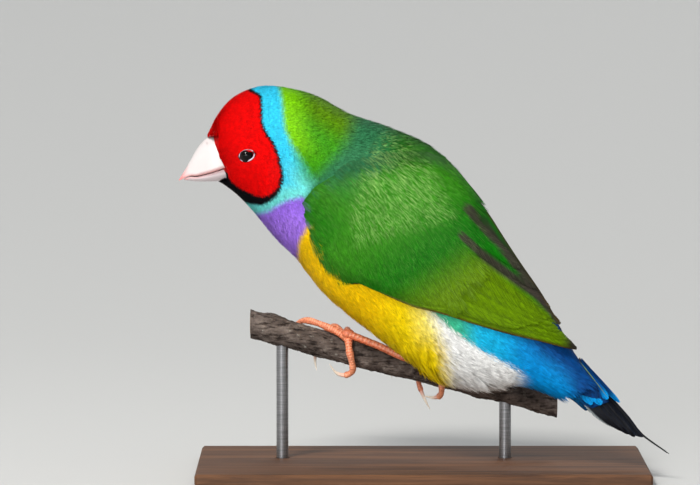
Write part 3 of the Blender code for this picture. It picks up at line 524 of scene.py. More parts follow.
def lit_hair(x, height):
    """How much of the light the barbs catch at places of the profile."""
    return blend(-2.2, 2.0, inside(np.column_stack([x, height]), LIT_HAIR))


def markings(x, height):
    """The plumage's colour at places of the profile, the same on both sides: green above, with a
    lime nape, over a yellow belly that fades to white, a violet breast, a turquoise band and a red
    mask edged in black. The rump and the upper flank are blue."""
    places = np.column_stack([x, height])
    band, belly = inside(places, CYAN_EDGE), inside(places, BELLY_EDGE)
    nape = layered(
        NAPE_GREEN,
        (NAPE_LIME, blend(74, 88, height) * blend(9, 1, x + 36)),
        (NAPE_OLIVE, 0.8 * blend(83, 91, height + 0.55 * (x + 26)) * blend(-34, -26, x)),
        (NAPE_LIME, 0.8 * blend(8.0, 0.5, -band) * blend(76, 84, height)),
    )
    blue = layered(
        FLANK_TEAL,
        (RUMP_CYAN, blend(8, 15, x)),
        (RUMP_BLUE, blend(15, 27, x)),
        # Painted shade: deep blue over the upper rump, away from the belly.
        (BLUE_SHADE, blend(-2.5, -9.0, belly) * blend(20, 30, x)),
    )
    pale = layered(
        GOLD,
        (YELLOW, blend(-16, -2, x - 0.35 * (height - 40))),
        (STRAW, blend(-5, 3, x - 0.15 * (40 - height)) * blend(30, 37, height)),
        (VENT_WHITE, blend(2.0, 7.0, x - 0.32 * (33 - height))),
        (blue, blend(22.5, 28.0, x + 0.3 * (26 - height))),
    )
    violet = layered(VIOLET, (VIOLET_DEEP, blend(61, 68, height) * 0.6))
    cyan = layered(CYAN, (CYAN_PALE, blend(80, 70, height) * blend(6, 1, band)))
    # Painted shade: the red darkens at the lore, in front of the eye.
    lore_shade = np.exp(-((x + 49.5) ** 2 + (height - 78.5) ** 2) / 12.0)
    red = layered(MASK_RED, (MASK_SHADE, 0.5 * lore_shade))
    down_back = x - 0.6 * (height - 40)
    flank = blend(1.2, 0.2, belly) * blend(-2, 7, x) * blend(-17, -11, belly)
    band_soft = 0.9 + 2.2 * blend(84, 74, height) * blend(70.0, 73.0, height)
    return layered(
        MANTLE_TEAL,
        (MANTLE_GREEN, blend(-14, -4, x + 0.3 * (80 - height))),
        (nape, blend(3.0, -3.0, x - from_pairs(NAPE_REACH, height))),
        (BACK_DUSK, blend(8, 18, down_back)),
        (blue, np.maximum(blend(22, 30, down_back), flank)),
        (pale, blend(-0.6, 0.8, belly)),
        (violet, blend(-0.5, 0.5, inside(places, VIOLET_EDGE))),
        (cyan, blend(-1, 1, band / band_soft)),
        (CHIN_BLACK, blend(-0.14, 0.14, inside(places, BLACK_EDGE))),
        (red, blend(-0.14, 0.14, inside(places, RED_EDGE))),
    )


def skin_finish():
    """Thin skin under the coat: the plumage's colour, matt, with the pits that the quills leave."""
    made, tree, shader = new_finish("plumage_down", 0.85, Specular_IOR_Level=0.15)
    down = noise(tree, 1400.0, 4.0)
    shade = ramp(tree, down, [(0.3, paint(150, 150, 150)), (0.7, WHITE)])
    cover(tree, shader, mixed(tree, stored(tree, "plumage"), shade), down, 0.6, 0.0004)
    return made


def skin():
    """The body's surface sunk by the coat's depth, on a grid of stations and turns."""
    station = np.concatenate([np.linspace(0, 4, 90), np.linspace(4, 15, 130)[1:]])[:, None]
    turn = turns(128)[None, :]
    rings, _ = over_trunk(station, turn, -from_pairs(COAT_DEPTH, station))
    made = tube_piece("skin", rings[:, ::-1], skin_finish())
    x, height = trunk(station, turn, profile=True)
    # Painted shade: the skin under the coat takes the markings' colour darkened to 0.7.
    tint(made, "plumage", markings(with_ends(x[:, ::-1]), with_ends(height[:, ::-1])) * 0.7)
    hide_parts("head", "neck", "torso", "rump")
    return made


skin()

# The eyes: dark brown glossy balls in the skin, each inside a bare ring of pale lilac lid.
EYE_CENTRE = (-43.5, 79.2)
EYE_RADIUS = 2.0
EYE_SHOW = 0.6
LID_LENGTH = 3.75
LID_HEIGHT = 2.75
LID_RADIUS = 0.17
LID_TILT = math.radians(16.0)
EYE_CLEAR = 1.16
EYE_BROWN = paint(22, 12, 10)
LID_LILAC = paint(206, 188, 206)
LID_SHADE = paint(26, 12, 18)


def head_depth(x, height, side):
    """The head's surface at places of the profile beside the eye, and how far it lies across."""
    rows = spline(TRUNK, np.linspace(0.2, 5.0, 400))
    run = rows[:, 0:2] - rows[:, 2:4]
    flat = np.column_stack([np.ravel(x), np.ravel(height)])
    off = flat[:, None, :] - rows[None, :, 2:4]
    cross = run[:, 0] * off[..., 1] - run[:, 1] * off[..., 0]
    nearest = np.abs(cross).argmin(axis=1)
    off, run = off[np.arange(len(flat)), nearest], run[nearest]
    level = np.clip(np.abs(2 * (off * run).sum(axis=1) / (run**2).sum(axis=1) - 1), 0, 0.99)
    across = rows[nearest, 4] * section_reach(level)
    return (middle_y(flat[:, 0]) + side * across).reshape(np.shape(x))


def turned(along, across, angle):
    """Distances along and across after a turn by an angle."""
    cos, sin = np.cos(angle), np.sin(angle)
    return along * cos - across * sin, along * sin + across * cos


def eye_ellipse(turn, scale):
    """Places of the profile on an ellipse round the eye's middle, grown by a scale."""
    x, height = turned(LID_LENGTH / 2 * scale * np.cos(turn), LID_HEIGHT / 2 * scale * np.sin(turn), LID_TILT)
    return EYE_CENTRE[0] + x, EYE_CENTRE[1] + height


def eye_reach(x, height):
    """How far out from the eye's middle places lie, where 1 is the lid's own ellipse."""
    along, up = turned(x - EYE_CENTRE[0], height - EYE_CENTRE[1], -LID_TILT)
    return np.hypot(along / (LID_LENGTH / 2), up / (LID_HEIGHT / 2))


def eye_finish():
    """A wet cornea over a dark iris, as glossy as the film of tears on it."""
    made, tree, shader = new_finish("eye_cornea", 0.04, IOR=1.34, Specular_IOR_Level=0.35)
    cover(tree, shader, stored(tree, "iris"))
    return made


def lid_finish():
    """Bare wrinkled skin: its own colour at each point, with a fine grain."""
    made, tree, shader = new_finish("lid_skin", 0.5, Specular_IOR_Level=0.35)
    cover(tree, shader, stored(tree, "lid"), noise(tree, 3500.0, 2.0), 0.4, 0.0001)
    return made


def eyeball(name, side, material):
    """A ball whose pole looks outwards, so its rings are the pupil's, the iris's and the white's.
    The cornea bulges a little over the iris, which has fine spokes."""
    rows, sides = 40, 48
    centre_y = head_depth(EYE_CENTRE[0], EYE_CENTRE[1], side) - side * (EYE_RADIUS - EYE_SHOW)
    centre = placed(EYE_CENTRE[0], EYE_CENTRE[1], centre_y)
    polar = np.linspace(0.02, math.pi - 0.02, rows)[:, None]
    turn = turns(sides)[None, :]
    out = np.cos(polar) + 0.04 * np.exp(-((polar / 0.7) ** 2))
    rings = centre + EYE_RADIUS * np.stack(
        [np.sin(polar) * np.cos(turn), side * out + 0 * turn, np.sin(polar) * np.sin(turn)], axis=-1
    )
    made = tube_piece(name + "_ball", rings if side > 0 else rings[:, ::-1], material)
    ring = np.append(np.repeat(polar[:, 0], sides), (0, math.pi))
    fibres = 0.75 + 0.25 * np.append(np.tile(np.sin(turn[0] * 23), rows), (1, 1))
    iris = EYE_BROWN * (fibres * blend(0.5, 0.62, ring) * blend(1.25, 0.95, ring))[:, None]
    tint(made, "iris", iris + 0.0005)
    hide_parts(name)
    return made


def lid(name, side, material):
    """A thin roll of skin carried round the eye's ellipse on the head's surface, finely creased
    across, pale on top, with painted shade where it turns in to the ball, at the eye's front and
    rear corners and along its upper part."""
    steps, sides = 96, 12
    turn = turns(steps)[:, None]
    spin = side * turns(sides)[None, :]
    crease = 1 + 0.07 * np.sin(turn * 31)
    wide = LID_RADIUS * crease * (1 + 0.25 * np.cos(turn + 2.2))
    x, height = eye_ellipse(turn, 1.0)
    out_x, out_height = eye_ellipse(turn, 1.2)
    away = unit(np.stack([out_x - x, out_height - height], axis=-1))
    y = head_depth(x, height, side) + side * 0.02
    rings = placed(
        x + wide * np.cos(spin) * away[..., 0],
        height + wide * np.cos(spin) * away[..., 1],
        y + side * wide * 0.85 * np.sin(side * spin) + 0 * spin,
    )
    faces = quads(steps + 1, sides, True) % (steps * sides)
    made = mesh_piece(name, rings, [faces[:, ::-1] if side < 0 else faces], material)
    top = blend(0.35, 0.8, 0.5 + 0.5 * np.sin(side * spin) + 0 * turn)
    # Painted shade: darker at the eye's front and rear corners and along its upper part.
    corners = blend(0.1, 0.5, np.abs(np.sin(turn - 0.15))) * (1 - 0.65 * blend(0.2, 0.9, np.sin(turn)))
    tint(made, "lid", layered(LID_SHADE, (LID_LILAC, (top * corners).ravel())))
    return made


cornea = eye_finish()
lid_skin = lid_finish()
for side_name, side in (("left", -1), ("right", 1)):
    eyeball("eye_" + side_name, side, cornea)
    lid("lid_" + side_name, side, lid_skin)

# The coat of the head and body: small feathers that grow back from the skin in staggered rows.
# Each is a fan of fine barbs from one quill, and its colour is the marking where each barb lies.
# The feathers' length by station number.
COAT_LENGTH = ((0.0, 0.95), (1.0, 1.15), (2.0, 1.4), (3.0, 1.8), (4.0, 2.4), (5.2, 3.2), (7.0, 4.4),
               (9.0, 5.2), (10.6, 5.8), (12.0, 6.4), (15.0, 7.0))
ROW_STEP = 0.29
BESIDE_STEP = 0.28
PATCH = 0.003
COAT_SEED = 7
# Where the bill leaves the feathers on each side: height, then x.
BILL_EDGE = ((73.2, -49.0), (74.0, -48.6), (76.5, -49.1), (77.6, -50.2), (78.8, -50.9), (83.9, -51.1))
# Rows of small feathers round each eye: how many, and the eye's ellipse grown by this much.
EYE_ROWS = ((64, 1.3), (66, 1.48), (68, 1.68))
# A blade has a pair of points at each of these shares of its length, then one at its tip.
BLADE_ROWS = np.array([0.0, 0.42, 0.78])
# The pale colour of painted highlights on barbs that catch the light.
HAIR_GLINT = paint(168, 214, 118)


def coat_roots(first, last, seed):
    """Stations and turns of the quills in staggered rows, spaced by the coat's length there and
    shifted a little at random."""
    draw = np.random.default_rng(seed)
    fine = np.linspace(first, last, 400)
    rows = spline(TRUNK, fine)
    back_run = np.hypot(*np.gradient(rows[:, 0:2], axis=0).T)
    belly_run = np.hypot(*np.gradient(rows[:, 2:4], axis=0).T)
    step = ROW_STEP * from_pairs(COAT_LENGTH, fine)
    passed = np.cumsum(np.maximum(back_run, belly_run) / step)
    row_stations = np.interp(np.arange(0.3, passed[-1], 1.0), passed, fine)
    round_body = np.linspace(0, 2 * math.pi, 361)
    found = []
    for index, station in enumerate(row_stations):
        ring = trunk(np.full(361, station), round_body)
        run = np.append(0, np.cumsum(np.linalg.norm(np.diff(ring, axis=0), axis=1)))
        count = int(run[-1] / (BESIDE_STEP * from_pairs(COAT_LENGTH, station)))
        even = (np.arange(count) + 0.5 * (index % 2) + draw.uniform(-0.28, 0.28, count)) / count * run[-1]
        turn = np.interp(even % run[-1], run, round_body)
        to_next = row_stations[min(index + 1, len(row_stations) - 1)] - station
        found.append(np.column_stack([station + draw.uniform(-0.3, 0.3, count) * to_next, turn]))
    return np.concatenate(found)


def fans(blades, length, width, seed, curl=0.1, roll=0.15, fill=0.8):
    """Blades of many small feathers at once, in each feather's own flat frame.

    Returns arrays over (feather, blade, point): how far along and across each point lies, how far
    the blade's roll lifts it, and its share of the blade's length. A blade starts near the quill,
    fans out sideways, is longest in the middle of the feather, narrows to a point, and is rolled a
    little about its own length so that it catches the light.
    """
    draw = np.random.default_rng(seed)
    shape = (len(length), blades)
    length, width = length[:, None, None], width[:, None, None]
    fan = np.linspace(-1, 1, blades)[None, :] + draw.uniform(-0.6, 0.6, shape) / blades
    reach = (1 - 0.26 * fan**2) * draw.uniform(0.82, 1.08, shape)
    share = np.append(np.repeat(BLADE_ROWS, 2), 1.0)
    edge = np.array([-0.75, 0.75, -1.0, 1.0, -0.62, 0.62, 0.0]) * width / blades * fill
    along = length * reach[..., None] * share
    middle = width / 2 * fan[..., None] * (0.3 + 0.7 * share**0.9)
    bend = draw.uniform(-curl, curl, (*shape, 1)) * length * share**2
    tilt = draw.uniform(-roll, roll, (*shape, 1)) * edge
    return along, middle + bend + edge, tilt, share + 0 * along


def blade_faces(blades):
    """Corner numbers of a number of blades, each of two quads and a triangle at its tip."""
    first = np.arange(blades)[:, None, None] * 7
    quad = np.array([[0, 2, 3, 1], [2, 4, 5, 3]])
    return [(first + quad[None]).reshape(-1, 4), (first[:, 0] + np.array([[4, 6, 5]])).reshape(-1, 3)]


def facing(points, faces, outward):
    """The faces, each turned so that it looks along the outward direction at its first corner."""
    corner = points[faces]
    normal = np.cross(corner[:, 1] - corner[:, 0], corner[:, 2] - corner[:, 0])
    wrong = (normal * outward[faces[:, 0]]).sum(axis=1) < 0
    return np.where(wrong[:, None], faces[:, ::-1], faces)


def blade_normals(points, outward, share):
    """Directions that shade the blades as one soft coat: the body's own, with a share of each
    blade's. Points are (feather, blade, 7 points, 3)."""
    across = points[..., 1, :] - points[..., 0, :] + points[..., 3, :] - points[..., 2, :]
    along = points[..., 6, :] - (points[..., 0, :] + points[..., 1, :]) / 2
    own = unit(np.cross(along, across))
    own = own * np.sign((own * outward[..., 2, :]).sum(axis=-1, keepdims=True))
    return unit((1 - share) * outward + share * own[..., None, :])


def fan_piece(name, points, outward, own, material, look=None):
    """Fans as one piece, shaded by the outward directions with a share of each blade's own. Where a
    look is given, each face is turned to it."""
    flat = points.reshape(-1, 3)
    faces = blade_faces(points.shape[0] * points.shape[1])
    if look is not None:
        faces = [facing(flat, group, np.broadcast_to(look, flat.shape)) for group in faces]
    return mesh_piece(name, flat, faces, material, blade_normals(points, outward, own))


def store_map(piece, spots):
    """Gives a piece the map that its colours are baked by, from a spot for each of its points."""
    corner = np.empty(len(piece.data.loops), np.int32)
    piece.data.loops.foreach_get("vertex_index", corner)
    layer = piece.data.uv_layers.new(name="OFBake")
    layer.data.foreach_set("uv", spots[corner].astype(np.float32).ravel())


def bake_map(piece, places, along, across):
    """In the map each small feather is a patch at its root's place on an unwrap of the skin, with
    the feather's own length and width across the patch."""
    low, high = places.min(axis=0), places.max(axis=0)
    root = 0.01 + 0.98 * (places - low) / np.maximum(high - low, 1e-9)
    patch = np.stack([along - 0.5, across - 0.5], axis=-1) * PATCH
    spots = root[:, None, :] + patch.reshape(len(places), -1, 2)
    store_map(piece, np.clip(spots, 0.001, 0.999).reshape(-1, 2))


def plumage_finish(name, roughness, gloss):
    """Feather barbs: the colour stored on them, broken by fine streaks, with a soft sheen."""
    made, tree, shader = new_finish(name, roughness, Specular_IOR_Level=gloss)
    shade = ramp(tree, noise(tree, 900.0, 3.0), [(0.25, paint(228, 228, 228)), (0.65, WHITE)])
    cover(tree, shader, mixed(tree, stored(tree, "plumage"), shade))
    return made


def barb_shades(shape, seed, low=0.8, high=1.12, root=0.72):
    """A brightness for every point of the barbs: a random tone for each blade, with painted shade
    towards the quill, where the feathers lap over each other.
    """
    draw = np.random.default_rng(seed)
    # Painted shade: darker towards the quill, a little brighter at the tip.
    along = np.append(np.repeat(root + (1 - root) * BLADE_ROWS**0.7, 2), 1.04)
    return (draw.uniform(low, high, shape[:2])[..., None] * along).reshape(-1, 1)


def lit_streaks(draw, x, height, share, part, least=0.0):
    """How much of the light the barbs' points catch: a part of the barbs do so, more towards their
    tips, where the barb's middle lies in the lit place."""
    streak = draw.uniform(0, 1, share.shape[:2] + (1,)) < part
    lit = lit_hair(x[..., 2].ravel(), height[..., 2].ravel()).reshape(streak.shape)
    lit = np.maximum(lit, least) * streak * draw.uniform(0.3, 1, streak.shape)
    return (lit * blend(0.1, 0.5, share)).ravel()


def body_coat(name, roots, seed, blades, material, slot_name):
    """Feathers over the skin at the given roots, following the body's own surface back from the
    bill, with each barb's points put on that surface by their distances along and round it. They
    are flat under the wings' tips and on the flanks, and longest and loosest round the vent."""
    station, turn = roots.T
    draw = np.random.default_rng(seed + 1)
    length = from_pairs(COAT_LENGTH, station) * draw.uniform(0.85, 1.15, len(roots))
    vent = blend(9.2, 10.6, station) * blend(12.6, 11.6, station) * blend(-0.6, -0.85, np.cos(turn))
    covered = blend(8.4, 9.6, station) * blend(0.2, 0.6, np.cos(turn))
    length = length * (1 + 0.3 * vent) * (1 - 0.45 * covered)
    along, across, tilt, share = fans(blades, length, 0.86 * length, seed, curl=0.05)
    loose = vent * draw.uniform(-0.4, 1.0, len(roots))
    lie = draw.uniform(-0.12, 0.12, len(roots)) * (1 + vent) + 0.45 * loose * np.sign(math.pi - turn)
    ahead, beside = turned(along, across, lie[:, None, None])
    per_station, per_turn = (np.linalg.norm(slope, axis=-1) for slope in trunk_slopes(station, turn))
    at_station = station[:, None, None] + ahead / per_station[:, None, None]
    at_turn = turn[:, None, None] + beside / per_turn[:, None, None]
    depth = from_pairs(COAT_DEPTH, station)
    rise = (depth + 0.1 * length) * draw.uniform(0.88, 1.06, len(roots)) * (1 - 0.85 * covered)
    rise = rise + 2.0 * np.maximum(loose, 0)
    under = np.minimum(1.05 * depth, 1.15) * (1 - 0.45 * blend(3.0, 1.0, station))
    under = under * blend(-0.6, 0.9, station)
    off_skin = -under[:, None, None] + (rise - depth + under)[:, None, None] * share**0.8 + tilt
    points, outward = over_trunk(at_station, at_turn, off_skin)
    sideways = np.stack([0 * at_turn, np.sin(at_turn), np.cos(at_turn)], axis=-1)
    outward = unit(outward + 1.8 * blend(1.8, 0.5, at_station)[..., None] * sideways)
    made = fan_piece(name, points, outward, 0.3, material)
    shift = draw.uniform(-0.2, 0.2, (2, len(roots), blades, 1)) * length[:, None, None] ** 0.5
    x, height = trunk(at_station, at_turn, profile=True)
    colour = markings((x + shift[0]).ravel(), (height + shift[1]).ravel())
    colour = layered(colour, (HAIR_GLINT, 0.4 * lit_streaks(draw, x, height, share, 0.35)))
    tint(made, "plumage", colour * barb_shades(share.shape, seed + 2))
    bake_map(made, roots, share, 0.5 + across / (1.4 * length[:, None, None]))
    return made


def face_clear(roots):
    """The roots that grow neither under the bill's base nor over the eye."""
    x, height = trunk(roots[:, 0], roots[:, 1], profile=True)
    length = from_pairs(COAT_LENGTH, roots[:, 0])
    side_on = np.abs(np.sin(roots[:, 1])) > 0.3
    on_bill = (x < from_pairs(BILL_EDGE, height)) & (BILL_EDGE[0][0] < height) & (height < BILL_EDGE[-1][0])
    reach = np.minimum(eye_reach(x, height), eye_reach(x + 0.8 * length, height + 0.1 * length))
    reach = np.minimum(reach, eye_reach(x + 0.4 * length, height))
    return roots[~on_bill & ~(side_on & (reach < EYE_CLEAR))]


def eye_coat(name, side, material):
    """Three rows of the smallest feathers round the lids, which part before the eye and close
    behind it."""
    draw = np.random.default_rng(COAT_SEED + 40 + side)
    turn = np.concatenate([turns(count) - math.pi for count, _ in EYE_ROWS])
    scale = np.concatenate([np.full(count, grown) for count, grown in EYE_ROWS])
    turn = turn + draw.uniform(-0.04, 0.04, len(turn))
    length = draw.uniform(0.8, 1.15, len(turn))
    along, across, tilt, share = fans(5, length, 0.6 * length, COAT_SEED + 41)
    x, height = eye_ellipse(turn, scale)
    step = np.where(np.sin(turn) >= 0, -1, 1) * 0.01
    next_x, next_height = eye_ellipse(turn + step, scale)
    lie = np.arctan2(next_height - height, next_x - x)
    settle = blend(0.55, 1.0, np.abs(np.cos(turn)))
    lie = lie * (1 - settle) + np.where(np.cos(turn) > 0, 0.0, lie) * settle
    off_x, off_height = turned(along, across, lie[:, None, None])
    at_x, at_height = x[:, None, None] + off_x, height[:, None, None] + off_height
    keep = eye_reach(at_x, at_height).min(axis=(1, 2)) > 1.1
    at_x, at_height, tilt, share, across = (values[keep] for values in (at_x, at_height, tilt, share, across))
    y = head_depth(at_x, at_height, side) + side * (-0.3 + 0.42 * share + tilt)
    points = placed(at_x, at_height, y)
    look = np.array([-0.2, side, 0.1])
    made = fan_piece(name, points, unit(np.broadcast_to(look, points.shape)), 0.4, material, look)
    colour = markings(at_x.ravel(), at_height.ravel())
    tint(made, "plumage", colour * barb_shades(share.shape, COAT_SEED + 42))
    width_share = 0.5 + across / length[keep][:, None, None]
    bake_map(made, np.column_stack([x[keep], height[keep]]), share, width_share)
    return made


velvet = plumage_finish("plumage_mask_barbs", roughness=0.8, gloss=0.08)
silk = plumage_finish("plumage_body_barbs", roughness=0.6, gloss=0.1)
for side_name, side in (("left", -1), ("right", 1)):
    eye_coat("eye_coat_" + side_name, side, velvet)
for name, first, last, blades, material, slot_name in (
    ("mask_coat", -0.3, 3.6, 7, velvet, "plumage_mask"),
    ("neck_coat", 3.6, 5.6, 10, silk, "plumage_neck"),
    ("body_coat", 5.6, 11.0, 14, silk, "plumage_body"),
    ("rump_coat", 11.0, 13.6, 14, silk, "plumage_rump"),
):
    roots = face_clear(coat_roots(first, last, COAT_SEED))
    on_right = np.sin(roots[:, 1]) > 0
    body_coat(name + "_right", roots[on_right], COAT_SEED + 3, blades, material, slot_name)
    body_coat(name + "_left", roots[~on_right], COAT_SEED + 4, blades, material, slot_name)

# The wings: each a thin core of bone and skin, folded against the body, that carries the flight
# feathers in tiers, then rows of coverts lapped over their roots like slates.
WING_ORIGIN = (-10.5, 61.8)
WING_SLOPE = math.radians(38.5)
WING_LIFT = 1.6
WING_FLATNESS = 0.86
WING_CLOSING = 0.09
WING_EDGES = np.array([
    (-19.0, -7.4, -3.0), (-15.5, -10.6, 6.0), (-10.0, -14.2, 13.0), (-3.4, -15.8, 19.0),
    (3.0, -14.9, 22.6), (10.4, -13.1, 21.8), (18.3, -10.9, 19.9), (25.3, -7.8, 17.5),
    (32.7, -5.0, 15.1), (41.0, -1.6, 12.6), (49.0, 2.2, 9.6), (54.5, 4.6, 7.9), (57.2, 6.1, 6.9),
])
WING_CORE_OUT = -0.95
WING_CORE_THICK = 1.5
WING_CORE_START = -18.6
WING_CORE_END = 47.0
WING_SEED = 21
SHEET_FROM = (-32.0, -26.0)
SHEET_STEP = 0.5
SHEET_COUNT = (205, 125)
# The tiers from the lowest layer up: how many feathers, then for the first and the last of them
# the root (a, h) and the tip (a, h), the width, how high the root and the tip stand off the wing,
# how much the lower edge stands over the upper, how far the row of tips bows out, how blunt the
# tips are, the outer web's share of the width and the spacing of the barbs.
WING_TIERS = {
    "primaries": (
        8, (2, -10.6), (57.2, 6.2), (9, -4), (48.0, 7.0), 5.4, -1.5, 0.15, 0.3, 2.0, 3.4, 0.36, 0.24,
    ),
    "secondaries": (
        7, (9, -5.5), (42.0, 1.6), (8, 7), (47.0, 8.6), 5.8, -1.35, 0.5, 0.3, 0.6, 3.0, 0.42, 0.24,
    ),
    "tertials": (
        4, (5, 5.4), (50.0, 8.6), (-3, 14.6), (33.0, 13.0), 6.6, -0.9, 0.8, 0.3, 1.2, 1.7, 0.5, 0.24,
    ),
    "primary_coverts": (
        5, (-4, -12.8), (27, -6.6), (0, -9.0), (20, -4.4), 3.4, -1.1, 0.3, 0.2, 0.5, 2.4, 0.5, 0.24,
    ),
    "greater_coverts": (
        10, (4, -10.0), (26, -4.4), (-1, 11), (17, 13.8), 5.2, -0.9, 0.3, 0.12, 1.6, 2.6, 0.5, 0.2,
    ),
    "median_coverts": (
        9, (-5, -12), (15.5, -8.6), (-8, 8), (8, 13), 5.2, -0.9, 0.35, 0.12, 2.6, 2.2, 0.5, 0.2,
    ),
}
TIER_SAG = {"primaries": -2.6, "primary_coverts": -2.6, "secondaries": -1.2}
COVERT_STACK = 0.02
FLIGHT_STACK = 0.09
STRIPE_UPPER = ((14.0, 16.6), (26.9, 14.4), (36.8, 12.0), (44.6, 10.2), (51.0, 8.5))
STRIPE_LOWER = ((17.0, 10.4), (24.1, 9.9), (30.3, 10.1), (36.6, 10.2), (43.5, 10.3))
STRIPE_REACH = (1.2, 0.95)
WING_RIM = 0.12
SHAFT_SHADE = 0.42
WING_GREEN = paint(22, 120, 4)
WEB_GREEN = paint(16, 120, 8)
SHOULDER_GREEN = paint(54, 140, 16)
WING_OLIVE = paint(104, 142, 0)
WING_GREY = paint(66, 58, 52)
WING_BROWN = paint(86, 66, 22)
WING_DUSK = paint(48, 40, 26)


def station_of(x, height, block=20000):
    """The station number and the place from belly (-1) to back (1) of points of the profile: the
    station is the one whose line from belly to back passes through the point."""
    numbers = np.linspace(0, len(TRUNK) - 1, 600)
    back_x, back_z, belly_x, belly_z, _ = spline(TRUNK, numbers).T
    stations = []
    for first in range(0, len(x), block):
        off_x = x[first:first + block] - belly_x[:, None]
        off_z = height[first:first + block] - belly_z[:, None]
        side = (back_x - belly_x)[:, None] * off_z - (back_z - belly_z)[:, None] * off_x
        last = np.clip((side < 0).sum(axis=0), 1, len(numbers) - 1)
        column = np.arange(off_x.shape[1])
        before, after = side[last - 1, column], side[last, column]
        share = np.clip(before / (before - after + 1e-12), 0, 1)
        stations.append(numbers[last - 1] + share * (numbers[last] - numbers[last - 1]))
    station = np.concatenate(stations)
    row = spline(TRUNK, station)
    length = (row[:, 0] - row[:, 2]) ** 2 + (row[:, 1] - row[:, 3]) ** 2
    along = (x - row[:, 2]) * (row[:, 0] - row[:, 2]) + (height - row[:, 3]) * (row[:, 1] - row[:, 3])
    return station, 2 * along / length - 1


def wing_place(a, h):
    """The profile place of a point given along and across the wing."""
    x, height = turned(a, h, -WING_SLOPE)
    return WING_ORIGIN[0] + x, WING_ORIGIN[1] + height


def wing_edges(a):
    """The wing's lower and upper edge at distances along it."""
    fine = spline(WING_EDGES, np.linspace(0, len(WING_EDGES) - 1, 160))
    return np.interp(a, fine[:, 0], fine[:, 1]), np.interp(a, fine[:, 0], fine[:, 2])


def wing_inside(a, h):
    """How far places lie inside the wing's outline."""
    fine = spline(WING_EDGES, np.linspace(0, len(WING_EDGES) - 1, 50))
    outline = np.vstack([fine[:, :2], fine[::-1, ::2]])
    return inside(np.column_stack([np.ravel(a), np.ravel(h)]), outline).reshape(np.shape(a))


def depth_sheets():
    """How far across the body the trunk and the folded wing lie, and how far inside the wing's
    outline each place is, on a lattice of places along and across the wing."""
    a = SHEET_FROM[0] + SHEET_STEP * np.arange(SHEET_COUNT[0])[:, None] + np.zeros(SHEET_COUNT)
    h = SHEET_FROM[1] + SHEET_STEP * np.arange(SHEET_COUNT[1])[None, :] + np.zeros(SHEET_COUNT)
    x, height = wing_place(a.ravel(), h.ravel())
    station, level = station_of(x, height)
    half_width = spline(TRUNK, station)[:, 4]
    body = half_width * section_reach(np.clip(np.abs(level), 0, 1))
    flatness = WING_FLATNESS + WING_CLOSING * np.clip((a.ravel() - 20.0) / 30.0, 0, 1)
    wing = (half_width + WING_LIFT) * section_reach(np.clip(np.abs(flatness * level), 0, 0.97))
    return body.reshape(SHEET_COUNT), wing.reshape(SHEET_COUNT), wing_inside(a, h)


BODY_SHEET, WING_SHEET, EDGE_SHEET = depth_sheets()


def sample(sheet, a, h):
    """Values between a lattice's points, in proportion to the distances from the four nearest."""
    row = np.clip((a - SHEET_FROM[0]) / SHEET_STEP, 0, SHEET_COUNT[0] - 1.001)
    column = np.clip((h - SHEET_FROM[1]) / SHEET_STEP, 0, SHEET_COUNT[1] - 1.001)
    i, j = row.astype(int), column.astype(int)
    p, q = row - i, column - j
    near = sheet[i, j] * (1 - q) + sheet[i, j + 1] * q
    far = sheet[i + 1, j] * (1 - q) + sheet[i + 1, j + 1] * q
    return near * (1 - p) + far * p


def wing_surface(a, h, out, side):
    """Points a distance out from the folded wing's outer face; side is -1 left and 1 right. What
    would stick out over the wing's edges is folded in along them."""
    a, h, out = np.broadcast_arrays(a, h, out)
    low, high = wing_edges(a)
    h = np.clip(h, low + WING_RIM, high - WING_RIM)
    x, height = wing_place(a, h)
    return placed(x, height, side * (sample(WING_SHEET, a, h) + out) + middle_y(x))


def shoulder_surface(a, h, out, side):
    """As the wing's face, but sloping down to the body outside the wing's outline, so that the
    small feathers there cover its edge."""
    a, h, out = np.broadcast_arrays(a, h, out)
    x, height = wing_place(a, h)
    share = blend(-2.4, 2.6, sample(EDGE_SHEET, a, h))
    across = sample(BODY_SHEET, a, h) * (1 - share) + (sample(WING_SHEET, a, h) + 0.55) * share
    return placed(x, height, side * (across + out) + middle_y(x))


def shoulder_outward(a, h, side):
    """The outward direction of the shoulder's surface, by small differences."""
    step = 0.6
    along = shoulder_surface(a + step, h, 0.0, side) - shoulder_surface(a - step, h, 0.0, side)
    across = shoulder_surface(a, h + step, 0.0, side) - shoulder_surface(a, h - step, 0.0, side)
    return side * unit(np.cross(across, along))


def gap_to_line(a, h, line):
    """The distance of places from a line through points, as far as they lie beside it."""
    past = np.maximum(line[0][0] - a, 0) + np.maximum(a - line[-1][0], 0)
    return np.hypot(h - from_pairs(line, a), 1.4 * past)


